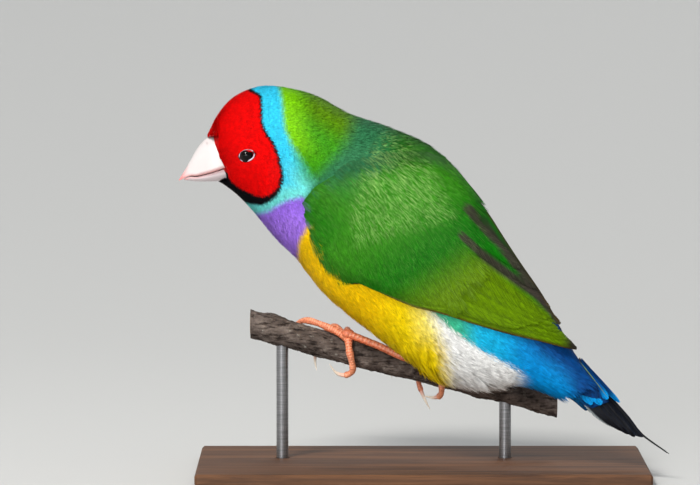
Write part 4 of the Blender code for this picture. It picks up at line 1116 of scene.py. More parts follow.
def wing_markings(a, h):
    """The wing's colour: bright hairy green at the shoulder, deep green coverts, olive flight
    feathers, two dark grey stripes where the tertials' inner webs show, and brown edges."""
    low, high = wing_edges(np.clip(a, WING_EDGES[0, 0], WING_EDGES[-1, 0]))
    upper = blend(STRIPE_REACH[0] + 0.35, STRIPE_REACH[0] - 0.35, gap_to_line(a, h, STRIPE_UPPER))
    lower = blend(STRIPE_REACH[1] + 0.35, STRIPE_REACH[1] - 0.35, gap_to_line(a, h, STRIPE_LOWER))
    return layered(
        SHOULDER_GREEN,
        (WING_GREEN, blend(2, 16, a + 0.25 * (8 - h))),
        (WING_GREEN, blend(-2, -9, h) * blend(-4, -10, a) * 0.7),
        (MANTLE_TEAL, 0.5 * blend(-6, -16, a) * blend(-4, 4, h)),
        (WING_OLIVE, blend(15, 27, a + 0.3 * (4 - h)) * blend(10.5, 7.5, h)),
        (WEB_GREEN, blend(12, 20, a) * blend(9.5, 11, h) * blend(52, 44, a)),
        (WING_GREY, 0.94 * upper),
        (WING_GREY, 0.94 * lower),
        (WING_BROWN, blend(1.5, 0.6, high - h) * blend(8, 20, a)),
        (WING_BROWN, blend(0.8, 0.3, h - low) * blend(6, 14, a)),
        (WING_DUSK, blend(51.5, 55.5, a + 0.5 * (h - 6.5))),
    )


def vane(surface, root, tip, width, rise, tilt, blunt, outer_share, pitch, seed, sag=0.0):
    """One large feather as arrays: a thin web, a shaft standing up along it, and barbs that leave
    the shaft and lean towards the tip as they run to the web's edges, each a little over the next.

    Places are given by t from root to tip and w from the lower edge (-1) to the upper (1). The
    web's half width rises from the root, then closes to a rounded tip. The web bends down towards
    its edges, and the feather bows up by its sag in the middle. Returns its points and faces, and
    for each point its u and v on the surface, its t and w, and a shade.
    """
    draw = np.random.default_rng(seed)
    root, tip = np.array(root, float), np.array(tip, float)
    run = tip - root
    length = np.hypot(*run)
    bow = sag + draw.uniform(-0.01, 0.01) * length
    web_rows, web_columns, shaft_rows = 13, 5, 16
    web = web_rows * web_columns

    def half_width(t):
        swell = 0.6 + 0.4 * np.sin(np.minimum(t / 0.5, 1) * math.pi / 2)
        return width / 2 * swell * (np.clip(1 - t**blunt, 0, 1) ** 0.55 * 0.94 + 0.06)

    web_t = np.linspace(0, 0.985, web_rows)[:, None] + np.zeros((1, web_columns))
    web_w = np.linspace(-0.94, 0.94, web_columns)[None, :] + np.zeros((web_rows, 1))
    count = max(int(length / pitch), 8)
    base = (np.arange(count) + 0.5 + draw.uniform(-0.2, 0.2, count)) / count
    across = np.array([0.0, 0.5, 1.0])
    sides = []
    for side in (-1, 1):
        lean = 1.7 * half_width(base) / length * draw.uniform(0.9, 1.1, count)
        short = draw.uniform(0, 1, count) < 0.1
        reach = np.where(short, draw.uniform(0.85, 0.97, count), draw.uniform(0.98, 1.02, count))
        middle = base[:, None] + lean[:, None] * across**1.2
        thick = 0.66 / count * np.array([1.0, 0.95, 0.4])
        edges = np.clip(np.stack([middle - thick, middle + thick], axis=-1), 0, 1)
        lapped = np.array([0.035, -0.02]) + draw.uniform(-0.012, 0.012, (count, 1, 1))
        shade = draw.uniform(0.66, 1.14, (count, 1, 1)) * np.array([0.94, 1.0, 1.06])[None, :, None]
        out = side * (across * reach[:, None])[..., None]
        sides.append(np.stack(np.broadcast_arrays(edges, out, lapped, shade)).reshape(4, -1))
    barb_t, barb_w, barb_lift, barb_shade = np.concatenate(sides, axis=1)
    shaft_t = np.linspace(0, 0.97, shaft_rows)[:, None] + np.zeros((1, 3))
    shaft_w = np.array([-1.0, 0.0, 1.0]) * 0.34 * (1 - 0.75 * shaft_t) / width
    shaft_lift = np.array([0.03, 0.16, 0.03]) * (1 - 0.5 * shaft_t)
    t = np.concatenate([web_t.ravel(), barb_t, shaft_t.ravel()])
    w = np.concatenate([web_w.ravel(), barb_w, shaft_w.ravel()])
    lift = np.concatenate([np.full(web, -0.07), barb_lift, shaft_lift.ravel()])
    # Painted shade: the web under the barbs is darkened to 0.55 of the feather's colour.
    shade = np.concatenate([np.full(web, 0.55), barb_shade, np.full(shaft_t.size, SHAFT_SHADE)])
    off = w * np.where(w < 0, 2 * outer_share, 2 * (1 - outer_share)) * half_width(t)
    off = off + bow * np.sin(math.pi * t)
    u = root[0] + t * run[0] - off * run[1] / length
    v = root[1] + t * run[1] + off * run[0] / length
    level = rise[0] + (rise[1] - rise[0]) * t - w * tilt * np.minimum(1.3 - t, 1) - 0.14 * w * w + lift
    first = web + 6 * np.arange(2 * count)[:, None, None]
    barbs = (first + np.array([[0, 1, 3, 2], [2, 3, 5, 4]])).reshape(-1, 4)
    barbs[: 2 * count] = barbs[: 2 * count, ::-1]
    shaft = web + 12 * count + quads(shaft_rows, 3, False)
    faces = np.concatenate([quads(web_rows, web_columns, False), barbs, shaft])
    return {"points": surface(u, v, level), "faces": faces, "u": u, "v": v, "t": t, "w": w, "shade": shade}


def vane_tier(name, vanes, colour_of, outward_of, material):
    """Joins a tier's feathers into one piece. In the map for the bake each feather has a strip of
    its own, its length up the strip."""
    tier = {label: np.concatenate([feather[label] for feather in vanes]) for label in vanes[0]}
    sizes = [len(feather["t"]) for feather in vanes]
    starts = np.repeat(np.cumsum(sizes) - sizes, [len(feather["faces"]) for feather in vanes])
    tier["index"] = np.repeat(np.arange(len(vanes)), sizes)
    faces = facing(tier["points"], tier["faces"] + starts[:, None], outward_of(tier["points"]))
    piece = mesh_piece(name, tier["points"], [faces], material)
    shade = tier["shade"] * (0.95 + 0.08 * (tier["index"] % 2))
    tint(piece, "plumage", colour_of(tier) * shade[:, None])
    strip = (tier["index"] + 0.5 + 0.42 * np.clip(tier["w"], -1, 1)) / len(vanes)
    store_map(piece, np.column_stack([strip, 0.02 + 0.96 * tier["t"]]))
    return piece


def wing_core(name, side, material):
    """The core: a thin plate between the wing's edges, rounded at its rims, on a grid of sections
    along the wing and turns round each."""
    share = 0.5 - 0.5 * np.cos(np.linspace(0, math.pi, 40))
    a = (WING_CORE_START + share * (WING_CORE_END - WING_CORE_START))[:, None]
    low, high = wing_edges(a)
    turn = turns(36)[None, :]
    h = (low + high) / 2 + ((high - low) / 2 - 0.8) * np.cos(turn)
    a = a + 0 * h
    thick = WING_CORE_THICK / 2 * np.abs(np.sin(turn)) ** 0.6 * np.sign(np.sin(turn))
    rings = wing_surface(a, h, WING_CORE_OUT - WING_CORE_THICK / 2 + thick, side)
    order = 1 if side < 0 else -1
    core = tube_piece(name, rings[:, ::order], material)
    # Painted shade: the core under the feathers takes the wing's markings darkened to half.
    tint(core, "plumage", wing_markings(with_ends(a[:, ::order]), with_ends(h[:, ::order])) * 0.5)
    return core


def flight_feathers(side_name, side, material):
    """Every tier of one wing. A row's roots and tips run evenly from its first feather's to its
    last's."""

    def surface(a, h, out):
        return wing_surface(a, h, out, side)

    def outward_of(points):
        return np.broadcast_to([0.0, side, 0.0], points.shape)

    def colour_of(tier):
        return wing_markings(tier["u"], tier["v"])

    for tier, row in WING_TIERS.items():
        count, root_a, tip_a, root_b, tip_b, width, low, high, tilt, bow, blunt, outer_share, pitch = row
        draw = np.random.default_rng(WING_SEED + count)
        step = COVERT_STACK if "coverts" in tier else FLIGHT_STACK
        vanes = []
        for index in range(count):
            share = index / (count - 1)
            root = np.array(root_a) + share * (np.array(root_b, float) - root_a)
            tip = np.array(tip_a) + share * (np.array(tip_b, float) - tip_a)
            tip[0] += bow * math.sin(math.pi * share) + draw.uniform(-0.35, 0.35)
            stack = step * index + draw.uniform(-0.02, 0.02)
            rise = (low + stack, high + stack)
            sag = TIER_SAG.get(tier, 0.0) * (1 - share)
            seed = WING_SEED + index
            vanes.append(vane(surface, root, tip, width, rise, tilt, blunt, outer_share, pitch, seed, sag))
        vane_tier(f"{tier}_{side_name}", vanes, colour_of, outward_of, material)


def shoulder_coat(name, side, material):
    """The scapulars and lesser coverts: long loose fans in staggered rows over the front of the
    wing and its edge, lying along the wing and a little down. Their barbs part like hair, and some
    catch the light."""
    draw = np.random.default_rng(WING_SEED + 90)
    row = np.arange(-25.0, 27.0, 0.95)
    column = np.arange(-19.0, 27.0, 0.85)
    a, h = np.meshgrid(row, column, indexing="ij")
    h = h + 0.42 * (np.arange(len(row)) % 2)[:, None]
    a = (a + draw.uniform(-0.45, 0.45, a.shape)).ravel()
    h = (h + draw.uniform(-0.35, 0.35, h.shape)).ravel()
    edge = sample(EDGE_SHEET, a, h)
    limit = 15.0 + 8.0 * blend(9.5, 7.0, h) * blend(-11, -7, h) - 6.0 * blend(13, 17, h)
    limit = limit + draw.uniform(-3.5, 3.5, len(a))
    over_edge = 3.1 * blend(4.0, -8.0, a) * blend(0, 8, h) - 0.1
    keep = (edge > -over_edge) & (sample(BODY_SHEET, a, h) > 3.2) & (a < limit)
    a, h, edge = a[keep], h[keep], edge[keep]
    length = 5.2 + 1.8 * blend(2, 12, h) * blend(-16, -6, a) - 1.8 * blend(-10, -20, a)
    length = length * draw.uniform(0.85, 1.15, len(a))
    length = length * (1 - 0.4 * blend(0.5, -2.5, edge) * blend(10, 14, h))
    along, across, tilt, share = fans(
        20, length, 0.5 * length, WING_SEED + 91, curl=0.04, roll=0.35, fill=0.56
    )
    lie = -(0.02 + 0.4 * blend(18, -6, h)) * blend(-22, -6, a) + draw.uniform(-0.1, 0.1, len(a))
    off_a, off_h = turned(along, across, lie[:, None, None])
    at_a, at_h = a[:, None, None] + off_a, h[:, None, None] + off_h
    low, high = wing_edges(at_a)
    loose = 40.0 * blend(4.0, -4.0, at_a) - 0.1
    at_h = np.clip(at_h, low - loose, high + loose)
    stand = draw.uniform(0.75, 1.1, len(a)) * (1 - 0.8 * blend(5.0, 1.0, edge) * blend(0, 8, a))
    stand = (stand * (1 - 0.7 * blend(8, 24, a)))[:, None, None]
    sunk = (0.45 + 1.0 * blend(2.5, -1.0, edge))[:, None, None]
    points = shoulder_surface(at_a, at_h, -sunk + (sunk + 0.5 * stand) * share**0.8 + tilt, side)
    outward = shoulder_outward(at_a, at_h, side)
    made = fan_piece(name, points, outward, 0.4, material, (0.0, side, 0.0))
    x, height = wing_place(at_a, at_h)
    on_wing = blend(-1.2, 0.6, edge + draw.uniform(-0.7, 0.7, len(a)))
    on_wing = np.broadcast_to(on_wing[:, None, None], at_a.shape).ravel()
    over_body = markings((x - 0.35 * along).ravel(), height.ravel())
    off_rims = np.clip(at_h, low + 1.0, high - 1.7)
    over_wing = wing_markings(at_a.ravel(), off_rims.ravel())
    lit = 0.8 * lit_streaks(draw, x, height, share, 0.36, 0.14)
    colour = layered(over_body, (over_wing, on_wing), (HAIR_GLINT, lit))
    tint(made, "plumage", colour * barb_shades(share.shape, WING_SEED + 92, 0.55, 1.14, 0.5))
    bake_map(made, np.column_stack([a, h]), share, 0.5 + across / length[:, None, None])
    return made


vane_barbs = plumage_finish("wing_feather_barbs", roughness=0.55, gloss=0.12)
for side_name, side in (("left", -1), ("right", 1)):
    core = wing_core("wing_core_" + side_name, side, vane_barbs)
    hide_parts("wing_" + side_name)
    flight_feathers(side_name, side, vane_barbs)
    shoulder_coat("shoulder_coat_" + side_name, side, silk)

# The tail: six pairs of black feathers folded in a steep roof, the middle pair drawn out into
# pins, rooted in a short core under blue coverts.
TAIL_LEAN = math.radians(39.5)
TAIL_LINE = np.array([
    (39.4, 22.0, 10.2, 7.4), (44.5, 16.9, 8.1, 6.2), (49.5, 13.0, 5.1, 4.8), (52.5, 10.6, 2.7, 3.6),
    (54.6, 9.1, 1.4, 2.6), (57.6, 6.9, 1.0, 1.7), (60.4, 5.0, 0.6, 0.8),
])
TAIL_LEAST_REACH = 1.5
TAIL_CORE_END = 14.5
TAIL_CORE_INSET = 1.2
TAIL_SEED = 61
# One side's feathers from the lowest to the pin, then the coverts: root (u, v), tip, width, how
# high the root and the tip stand off, how blunt the tip is, and whether it is a covert.
TAIL_FEATHERS = (
    ((-0.5, 8.6), (12.4, 7.0), 4.2, (-1.1, -0.1), 3.0, False),
    ((-0.5, 7.2), (14.4, 5.9), 4.2, (-1.1, 0.0), 3.0, False),
    ((-0.5, 5.8), (16.2, 4.8), 4.2, (-1.1, 0.1), 3.0, False),
    ((-0.5, 4.4), (17.8, 3.6), 4.2, (-1.1, 0.2), 3.0, False),
    ((-0.5, 2.9), (19.4, 2.2), 4.0, (-1.1, 0.3), 3.0, False),
    ((-0.5, 1.3), (27.0, 0.7), 3.4, (-1.1, 0.3), 0.9, False),
    ((-4.0, 7.4), (4.6, 7.2), 3.6, (-0.8, 0.4), 2.6, True),
    ((-4.5, 5.4), (6.4, 5.6), 3.8, (-0.8, 0.5), 2.6, True),
    ((-4.5, 3.4), (6.8, 3.8), 3.8, (-0.8, 0.6), 2.6, True),
    ((-4.5, 1.6), (9.6, 1.8), 3.8, (-0.8, 0.7), 2.6, True),
)
TAIL_BLACK = paint(13, 13, 18)
TAIL_SHEEN = paint(20, 30, 50)
TAIL_PALE = paint(178, 188, 190)
COVERT_SHAFT = paint(128, 150, 60)


def tail_rows(u):
    """Rows of the tail's line at distances along it, drawn straight back before its start."""
    fine = spline(TAIL_LINE, np.linspace(0, len(TAIL_LINE) - 1, 120))
    run = np.append(0.0, np.cumsum(np.hypot(np.diff(fine[:, 0]), np.diff(fine[:, 1]))))
    rows = np.stack([np.interp(u, run, fine[:, k]) for k in range(4)], axis=-1)
    before = np.minimum(u, 0)[..., None]
    slope = (fine[1] - fine[0]) / run[1]
    return rows + before * slope


def tail_surface(u, v, out, side):
    """Points over one side of the tail: u along it, v down from its ridge, out from its face."""
    x, height, tall, wide = np.moveaxis(tail_rows(u), -1, 0)
    angle = v / np.maximum((tall + wide) / 4, TAIL_LEAST_REACH)
    up = np.cos(angle)
    beside = np.sin(angle) * (1.0 - 0.3 * up)
    rise = (tall / 2 + out) * up
    return placed(
        x + rise * math.sin(TAIL_LEAN),
        height + rise * math.cos(TAIL_LEAN),
        middle_y(x) + side * (wide / 2 + out) * beside,
    )


def tail_core(material):
    """The core under the quills: the tail's own section, sunk, drawn to a point at its end."""
    u = np.linspace(-5.0, TAIL_CORE_END, 24)[:, None]
    turn = turns(40)[None, :]
    x, height, tall, wide = np.moveaxis(tail_rows(u), -1, 0)
    closing = 1 - 0.5 * blend(8, TAIL_CORE_END, u)
    tall, wide = (tall - 2 * TAIL_CORE_INSET) * closing, (wide - 2 * TAIL_CORE_INSET) * closing
    up = np.cos(turn)
    rings = placed(
        x + tall / 2 * up * math.sin(TAIL_LEAN),
        height + tall / 2 * up * math.cos(TAIL_LEAN),
        middle_y(x) + wide / 2 * np.sin(turn) * (1.0 - 0.3 * up),
    )
    made = tube_piece("tail_core", rings[:, ::-1], material)
    tint(made, "plumage", np.tile(TAIL_BLACK, (24 * 40 + 2, 1)))
    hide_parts("tail")
    return made


def tail_feathers(side_name, side, material):
    """One side's feathers and coverts, in two pieces."""

    def surface(u, v, out):
        return tail_surface(u, v, out, side)

    def outward_of(points):
        middle = np.interp(points[:, 0], TAIL_LINE[:, 0], TAIL_LINE[:, 1])
        across = 0.4 * side + points[:, 1] - middle_y(points[:, 0])
        return np.column_stack([0 * middle, across, points[:, 2] - middle + points[:, 1] * VIEW_RISE])

    def feather_colour(tier):
        edge = blend(0.6, 0.9, tier["w"]) * (tier["index"] == 0) * 0.9
        return layered(TAIL_BLACK, (TAIL_SHEEN, 0.6 * blend(0.1, 0.9, np.abs(tier["w"]))), (TAIL_PALE, edge))

    def covert_colour(tier):
        olive = (tier["shade"] == SHAFT_SHADE) * (np.abs(tier["w"]) < 0.3) * (tier["index"] == 2)
        # Painted shade: the upper coverts are deep blue except at their tips, where they come out from under
        # the rump's coat; the two lowest are bright blue all over.
        blue = np.where(tier["index"] < 2, 1.0, blend(0.72, 0.9, tier["t"]))
        return layered(BLUE_SHADE, (RUMP_BLUE, blue), (2.2 * COVERT_SHAFT, olive))

    vanes = {False: [], True: []}
    for number, (root, tip, width, rise, blunt, covert) in enumerate(TAIL_FEATHERS):
        rise = (rise[0], rise[1] + 0.05 * side)
        seed = TAIL_SEED + number + (side > 0)
        vanes[covert].append(vane(surface, root, tip, width, rise, -0.2, blunt, 0.5, 0.24, seed))
    name = "tail_feathers_" + side_name
    vane_tier(name, vanes[False], feather_colour, outward_of, material)
    name = "tail_coverts_" + side_name
    vane_tier(name, vanes[True], covert_colour, outward_of, silk)


tail_barbs = plumage_finish("tail_feather_barbs", roughness=0.45, gloss=0.25)
tail_core(tail_barbs)
for side_name, side in (("left", -1), ("right", 1)):
    tail_feathers(side_name, side, tail_barbs)

# The bill: two horn cones that close along the mouth line, white with a rose tip and a rose
# flush along the mouth, smooth and faintly polished, with a small nostril by the forehead.
BILL_ROOT_X = -48.6
CULMEN = np.array([
    (-60.7, 73.3, 0.25), (-59.3, 75.6, 1.1), (-58.0, 77.9, 1.85), (-56.8, 80.1, 2.55),
    (-55.5, 82.0, 3.2), (-54.2, 83.4, 3.7), (-53.0, 84.1, 4.05), (-51.0, 84.4, 4.3), (-48.6, 84.4, 4.3),
])
MOUTH = np.array([(-60.7, 73.0), (-58.0, 74.2), (-56.2, 74.3), (-53.5, 75.0), (-51.5, 75.6), (-48.6, 76.6)])
CHIN = np.array([(-59.3, 73.3), (-58.0, 73.1), (-56.0, 72.9), (-53.5, 72.9), (-51.0, 73.0), (-48.6, 73.4)])
MOUTH_GAP = 0.22
NOSTRIL = (-53.6, 82.6)
BILL_FLARE = 0.75
HORN_WHITE = paint(202, 195, 194)
HORN_ROSE = paint(214, 122, 120)
HORN_GREY = paint(206, 192, 194)
MOUTH_DARK = paint(96, 34, 34)


def by_first_column(rows, x):
    """The other columns of a table at given values of its first, smoothly."""
    fine = spline(rows, np.linspace(0, len(rows) - 1, 12 * len(rows)))
    return np.stack([np.interp(x, fine[:, 0], fine[:, k]) for k in range(1, fine.shape[1])])


def horn_finish():
    """Horn: its own colour at each point under fine growth lines, with a soft gloss."""
    made, tree, shader = new_finish("bill_horn", 0.36, Specular_IOR_Level=0.45)
    cover(tree, shader, stored(tree, "horn"), noise(tree, 1.0, 3.0, (900.0, 300.0, 500.0)), 0.12, 0.0002)
    return made


def bill_half(node_name, upper, material):
    """Half of the bill: an arch from one mouth edge over the ridge (or under the keel) to the
    other and back along the mouth, at each of many sections from the tip to the root."""
    sections_count, arch_sides, floor_sides = 70, 40, 12
    up, slim = (1, 1.0) if upper else (-1, 0.86)
    table = CULMEN if upper else CHIN
    share = np.linspace(0, 1, sections_count) ** 1.25
    x = (table[0, 0] + share * (BILL_ROOT_X - table[0, 0]))[:, None]
    edge = by_first_column(MOUTH, x)[0] + up * MOUTH_GAP / 2
    ridge, half_width = by_first_column(CULMEN, x)
    half_width = (half_width + BILL_FLARE * blend(-56.0, -51.5, x)) * slim
    if not upper:
        ridge = np.minimum(by_first_column(CHIN, x)[0], edge - 0.15)
    turn = np.linspace(0, math.pi, arch_sides)[None, :]
    height = edge + (ridge - edge) * np.sin(turn) ** (0.88 if upper else 0.8)
    across = np.sign(np.cos(turn)) * np.abs(np.cos(turn)) ** 0.9 * half_width
    pit = np.exp(-(((x - NOSTRIL[0]) ** 2 + (height - NOSTRIL[1]) ** 2) / 0.1)) * upper
    across = across - np.sign(across) * 0.45 * pit
    floor_share = np.linspace(1, -1, floor_sides + 2)[None, 1:-1]
    floor_level = edge + 0.25 * up * (1 - floor_share**2) * blend(-60, -57, x)
    y = middle_y(x) + np.concatenate([across, -floor_share * half_width], axis=1)
    z = np.concatenate([height, floor_level], axis=1)
    rings = np.stack([x + 0 * y, y, z], axis=-1)[:, ::up]
    made = tube_piece(node_name + "_horn", rings, material)
    flat = with_ends(rings)
    over_mouth = np.abs(flat[:, 2] - by_first_column(MOUTH, flat[:, 0])[0])
    near_nostril = np.exp(-((flat[:, 0] - NOSTRIL[0]) ** 2 + (flat[:, 2] - NOSTRIL[1]) ** 2) / 0.07) * upper
    colour = layered(
        HORN_WHITE if upper else HORN_GREY,
        (HORN_ROSE, 0.8 * blend(-57.8, -60.4, flat[:, 0])),
        (HORN_ROSE, (0.75 if upper else 0.45) * blend(0.9, 0.1, over_mouth)),
    )
    inner = np.tile((np.arange(arch_sides + floor_sides) >= arch_sides)[::up], sections_count)
    colour[np.append(inner, (False, False))] = MOUTH_DARK
    tint(made, "horn", layered(colour, (MOUTH_DARK, 0.35 * np.clip(near_nostril, 0, 1))))
    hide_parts(node_name)
    return made


horn = horn_finish()
bill_half("bill_upper", True, horn)
bill_half("bill_lower", False, horn)

# The legs: a scaled shank that comes out of the belly's feathers, a small palm, and four toes
# that wrap the branch. The skin is rosy orange, with overlapping plates on top and pads below.
TOE_RADIUS = 1.0
HALLUX_RADIUS = 1.1
TARSUS_RADIUS = 0.98
PALM_RADII = (1.65, 1.3, 1.3)
PLATE_STEP = 0.62
CLAW_RADIUS = 0.6
# Each digit is a path round the perch: x, turn round the perch in degrees from its top
# (far side positive, near side negative) and height over its bark, then the claw's length.
DIGITS = {
    "left": {
        "hallux": (((-18.4, -52, 1.4), (-18.2, -82, 1.45), (-17.6, -112, 1.6), (-17.4, -140, 2.3),
                    (-19.2, -156, 3.1), (-21.4, -152, 3.3), (-23.2, -132, 2.6)), 5.6),
        "toe_inner": (((-18.6, -50, 1.4), (-20.6, -18, 1.4), (-22.6, 22, 1.35), (-24.4, 66, 1.35),
                       (-25.8, 108, 1.5), (-26.8, 142, 2.0), (-26.4, 176, 3.6)), 5.4),
        "toe_middle": (((-18.6, -50, 1.4), (-21.8, -30, 1.4), (-25.4, -10, 1.35), (-28.6, 14, 1.3),
                        (-30.8, 46, 1.3), (-31.8, 82, 1.6), (-31.4, 112, 2.1)), 4.6),
        "toe_outer": (((-18.4, -48, 1.4), (-18.6, -10, 1.4), (-18.8, 34, 1.35), (-19.0, 76, 1.35),
                       (-19.2, 112, 1.6), (-19.6, 140, 2.3)), 4.4),
    },
    "right": {
        "hallux": (((3.6, -6, 1.7), (4.4, -40, 1.5), (4.9, -80, 1.45), (5.0, -122, 1.6),
                    (4.6, -158, 2.3), (2.4, -186, 3.2), (0.2, -196, 3.6)), 5.4),
        "toe_inner": (((3.4, -2, 1.7), (1.6, 26, 1.4), (0.0, 62, 1.35), (-0.8, 104, 1.45),
                       (-0.6, 140, 2.2), (0.8, 164, 4.4), (2.2, 170, 6.6)), 5.2),
        "toe_middle": (((3.4, -2, 1.7), (-0.4, 10, 1.4), (-3.8, 24, 1.35), (-6.4, 50, 1.3),
                        (-7.6, 84, 1.35), (-7.8, 118, 1.7), (-7.4, 142, 2.2)), 4.6),
        "toe_outer": (((3.6, 0, 1.7), (4.2, 34, 1.4), (4.6, 72, 1.35), (4.8, 106, 1.5),
                       (4.8, 136, 2.0)), 4.4),
    },
}
TARSUS = {
    "left": ((-18.5, 1.0, 34.6), (-11.0, -1.8, 31.9), (-3.6, -3.6, 28.9), (0.2, -4.4, 30.4)),
    "right": ((3.6, 4.6, 30.0), (8.0, 4.6, 31.6), (12.0, 2.6, 34.4)),
}
LEG_ROSE = paint(224, 118, 74)
LEG_PALE = paint(240, 180, 144)
# A deeper red: painted shade on the rosy skin.
LEG_SHADE_RED = paint(184, 72, 44)
CLAW_PALE = paint(240, 226, 208)
CLAW_ROSE = paint(222, 158, 136)


def round_perch(x, turn, height):
    """Points beside the perch, by their turn from its top and their height over the bark."""
    turn = np.radians(turn)
    reach = PERCH_RADIUS + height
    return np.stack([x, PERCH_Y + reach * np.sin(turn), perch_axis(x) + reach * np.cos(turn)], axis=-1)


def even_path(points, count):
    """Evenly spaced points along a path, and how far along it each is."""
    run = np.append(0.0, np.cumsum(np.linalg.norm(np.diff(points, axis=0), axis=1)))
    even = np.linspace(0, run[-1], count)
    return np.stack([np.interp(even, run, points[:, k]) for k in range(3)], axis=-1), even


def sections(path, radius, back, sides):
    """Rings round a path: each point is the path's, plus a radius times the cosine of its turn
    along the back direction and the sine across it. The back direction is squared to the path."""
    ahead = unit(np.gradient(path, axis=0))
    back = unit(back - (back * ahead).sum(axis=1, keepdims=True) * ahead)
    beside = np.cross(ahead, back)
    turn = turns(sides)
    ring = np.cos(turn)[None, :, None] * back[:, None] + np.sin(turn)[None, :, None] * beside[:, None]
    return path[:, None] + np.broadcast_to(radius, (len(path), sides))[..., None] * ring


def scaled_relief(run, sides):
    """Relief of a digit's skin: plates across the top, each rising to an edge that laps the next,
    fading to small round pads below."""
    turn = turns(sides)[None, :]
    step = (run[:, None] / PLATE_STEP) % 1.0
    plate = (step**1.6 - 0.5) * blend(-0.2, 0.5, np.cos(turn))
    groove = -np.exp(-(((step - 0.5) ** 2 - 0.25) / 0.02) ** 2)
    pads = np.cos(run[:, None] * 2 * math.pi / 1.15) * np.cos(turn * 5) * blend(0.2, -0.5, np.cos(turn))
    return 0.1 * plate + 0.045 * groove * blend(-0.3, 0.3, np.cos(turn)) + 0.045 * pads, step


def leg_finish():
    """Scaled skin: its own colour at each point, a little waxy, under a fine grain."""
    made, tree, shader = new_finish("leg_skin", 0.42, Specular_IOR_Level=0.45)
    grain = noise(tree, 2200.0, 3.0)
    shade = ramp(tree, grain, [(0.3, paint(196, 180, 176)), (0.62, WHITE)])
    cover(tree, shader, mixed(tree, stored(tree, "skin"), shade), grain, 0.35, 0.00015)
    return made


def leg_colours(rings, step, pale):
    """Rosy skin, paler on the plates' edges and towards the toe's end, with painted shade in red in
    the grooves and on the underside.
    """
    count, sides = rings.shape[:2]
    turn = turns(sides)[None, :]
    step = (step + 0 * turn).ravel()
    top = (blend(-0.3, 0.5, np.cos(turn)) + np.zeros((count, 1))).ravel()
    colour = layered(
        LEG_ROSE,
        (LEG_PALE, 0.7 * blend(0.3, 0.95, step) * top),
        # Painted shade in red: in the grooves on top and on the underside.
        (LEG_SHADE_RED, 0.6 * blend(0.12, 0.0, step) * top),
        (LEG_SHADE_RED, 0.35 * (1 - top)),
        (LEG_PALE, np.repeat(pale, sides)),
    )
    return np.concatenate([colour, colour[:1], colour[-1:]])


def toe(name, ways, claw_length, thick, skin_material, claw_material):
    """A toe as rings along its path round the perch, its back away from the branch, and its claw:
    a cone along the rest of the path, deeper than it is wide."""
    toe_sides, claw_sides = 22, 16
    at = np.linspace(0, len(ways) - 1, 240)
    x, turn, height = spline(np.array(ways, float), at).T
    path, run = even_path(round_perch(x, turn, height), 160)
    end = run[-1] - claw_length
    middle = np.stack([path[:, 0], np.full(len(path), PERCH_Y), perch_axis(path[:, 0])], axis=-1)
    back = unit(path - middle)
    flesh = run < end + 0.35
    share = run[flesh] / run[flesh][-1]
    joints = 1 + 0.09 * np.cos(share * 6 * math.pi)
    radius = thick * (1 - 0.27 * share) * joints * (1 - 0.55 * blend(0.93, 1.0, share) ** 2)
    relief, step = scaled_relief(run[flesh], toe_sides)
    flat = 1 - 0.12 * np.sin(turns(toe_sides)) ** 2
    rings = sections(path[flesh], radius[:, None] * flat + relief, back[flesh], toe_sides)
    made = tube_piece("toe_skin_" + name, rings, skin_material)
    tint(made, "skin", leg_colours(rings, step, 0.35 * share))
    horn_part = run > end - 0.5
    share = (run[horn_part] - run[horn_part][0]) / (run[-1] - run[horn_part][0])
    deep = CLAW_RADIUS * (1 - 0.93 * share**1.25)
    turn = turns(claw_sides)
    oval = np.hypot(np.cos(turn), 0.78 * np.sin(turn))
    rings = sections(path[horn_part], deep[:, None] * oval, back[horn_part], claw_sides)
    claw = tube_piece("claw_horn_" + name, rings, claw_material)
    colour = layered(CLAW_ROSE, (CLAW_PALE, np.repeat(blend(0.0, 0.55, share), claw_sides)))
    tint(claw, "horn", np.concatenate([colour, colour[:1], colour[-1:]]))
    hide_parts("claw_" + name)
    return made


def shank(side, material):
    """The shank as rings along its path, stouter at both ends, plated on its upper side."""
    ways = np.array(TARSUS[side], float)
    path, run = even_path(spline(ways, np.linspace(0, len(ways) - 1, 160)), 110)
    share = run / run[-1]
    radius = TARSUS_RADIUS * (0.94 + 0.16 * (2 * share - 1) ** 4)
    relief, step = scaled_relief(run / 1.7, 24)
    up = np.tile([0.0, -0.35, 1.0], (len(path), 1))
    rings = sections(path, radius[:, None] + 0.8 * relief, up, 24)
    made = tube_piece("shank_skin_" + side, rings, material)
    tint(made, "skin", leg_colours(rings, step, 0.2 * share))
    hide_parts("tarsus_" + side)
    return made


def palm(side, material):
    """The palm: an oval ball where the toes meet, pebbled with small round scales."""
    polar = np.linspace(0.05, math.pi - 0.05, 40)[:, None]
    turn = turns(56)[None, :]
    pebble = 1 + 0.03 * np.cos(turn * 14) * np.cos(polar * 18) * np.sin(polar)
    radii = np.array(PALM_RADII) * 0.98
    centre = np.array(TARSUS[side][0])
    ball = np.stack(
        [np.cos(polar) + 0 * turn, np.sin(polar) * np.cos(turn), np.sin(polar) * np.sin(turn)], axis=-1
    )
    rings = centre + radii * ball * pebble[..., None]
    made = tube_piece("palm_skin_" + side, rings[:, ::-1], material)
    tint(made, "skin", leg_colours(rings, np.full((40, 1), 0.4), np.full(40, 0.15)))
    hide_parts("foot_" + side)
    return made


scaled_skin = leg_finish()
for side_name, digits in DIGITS.items():
    palm(side_name, scaled_skin)
    shank(side_name, scaled_skin)
    for digit, (ways, claw_length) in digits.items():
        thick = HALLUX_RADIUS if digit == "hallux" else TOE_RADIUS
        toe(f"{side_name}_{digit}", ways, claw_length, thick, scaled_skin, horn)

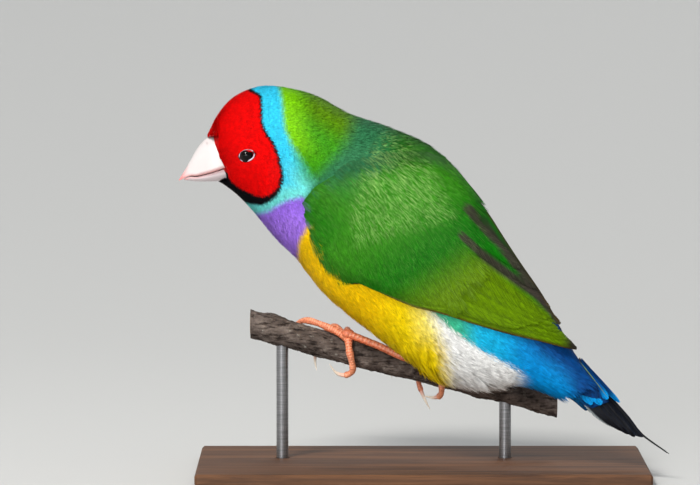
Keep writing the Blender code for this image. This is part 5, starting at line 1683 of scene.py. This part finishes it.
# The stage: a pale floor that curves up far away on every side, a large soft key light high on
# the left, a fill, a rim light, and the camera at the photograph's angle.
FLOOR_REACH = 4.0
FLOOR_FLAT = 0.35
FLOOR_RISE = 2.0
FLOOR_TONE = (0.56, 0.56, 0.55, 1.0)


def floor():
    """A round sweep: flat under the stand, then its height grows with the square of the distance
    past the flat part."""
    reach = np.concatenate([[0.001, 0.2], np.linspace(FLOOR_FLAT, FLOOR_REACH, 60)])[:, None]
    turn = turns(96)[None, :]
    up = FLOOR_RISE * (np.maximum(reach - FLOOR_FLAT, 0) / (FLOOR_REACH - FLOOR_FLAT)) ** 2
    grid = np.stack([reach * np.cos(turn), reach * np.sin(turn), up + 0 * turn], axis=-1)
    mesh = bpy.data.meshes.new("floor")
    mesh.from_pydata(grid.reshape(-1, 3).tolist(), [], quads(len(reach), 96, True).tolist())
    mesh.shade_smooth()
    made = bpy.data.objects.new("floor", mesh)
    bpy.context.scene.collection.objects.link(made)
    finish, _, shader = new_finish("floor_paper", 0.9, Specular_IOR_Level=0.1)
    shader.inputs["Base Color"].default_value = FLOOR_TONE
    mesh.materials.append(finish)
    return made


def area_light(name, place, aim, size, power, colour):
    """A square soft light that faces a point."""
    lamp = bpy.data.lights.new(name, "AREA")
    lamp.size = size
    lamp.energy = power
    lamp.color = colour
    made = bpy.data.objects.new(name, lamp)
    bpy.context.scene.collection.objects.link(made)
    made.location = place
    direction = Vector(aim) - Vector(place)
    made.rotation_euler = direction.to_track_quat("-Z", "Y").to_euler()
    return made


floor()
area_light("key", (-0.7, -1.25, 1.45), (-0.01, 0, 0.06), 0.45, 35.0, (1.0, 0.98, 0.94))
area_light("fill", (-0.5, -1.5, 0.2), (0, 0, 0.05), 0.9, 26.0, (0.98, 0.985, 1.0))
area_light("rim", (0.4, 1.2, 1.5), (0, 0, 0.06), 0.7, 6.0, (1.0, 1.0, 1.0))
world = bpy.data.worlds.new("studio")
world.use_nodes = True
world.node_tree.nodes["Background"].inputs["Color"].default_value = (0.9, 0.93, 0.96, 1.0)
world.node_tree.nodes["Background"].inputs["Strength"].default_value = 0.5
bpy.context.scene.world = world
bpy.context.scene.view_settings.view_transform = "Standard"

CAMERA_PLACE = (-0.018, -1.197, 0.1413)
CAMERA_AIM = Vector((-0.018, 0, 0.0576))
lens = bpy.data.cameras.new("camera")
lens.sensor_width = 36.0
lens.lens = 247.0
lens.clip_start = 0.01
lens.clip_end = 50.0
camera = bpy.data.objects.new("camera", lens)
bpy.context.scene.collection.objects.link(camera)
camera.location = CAMERA_PLACE
camera.rotation_euler = (CAMERA_AIM - camera.location).to_track_quat("-Z", "Y").to_euler()
bpy.context.scene.camera = camera
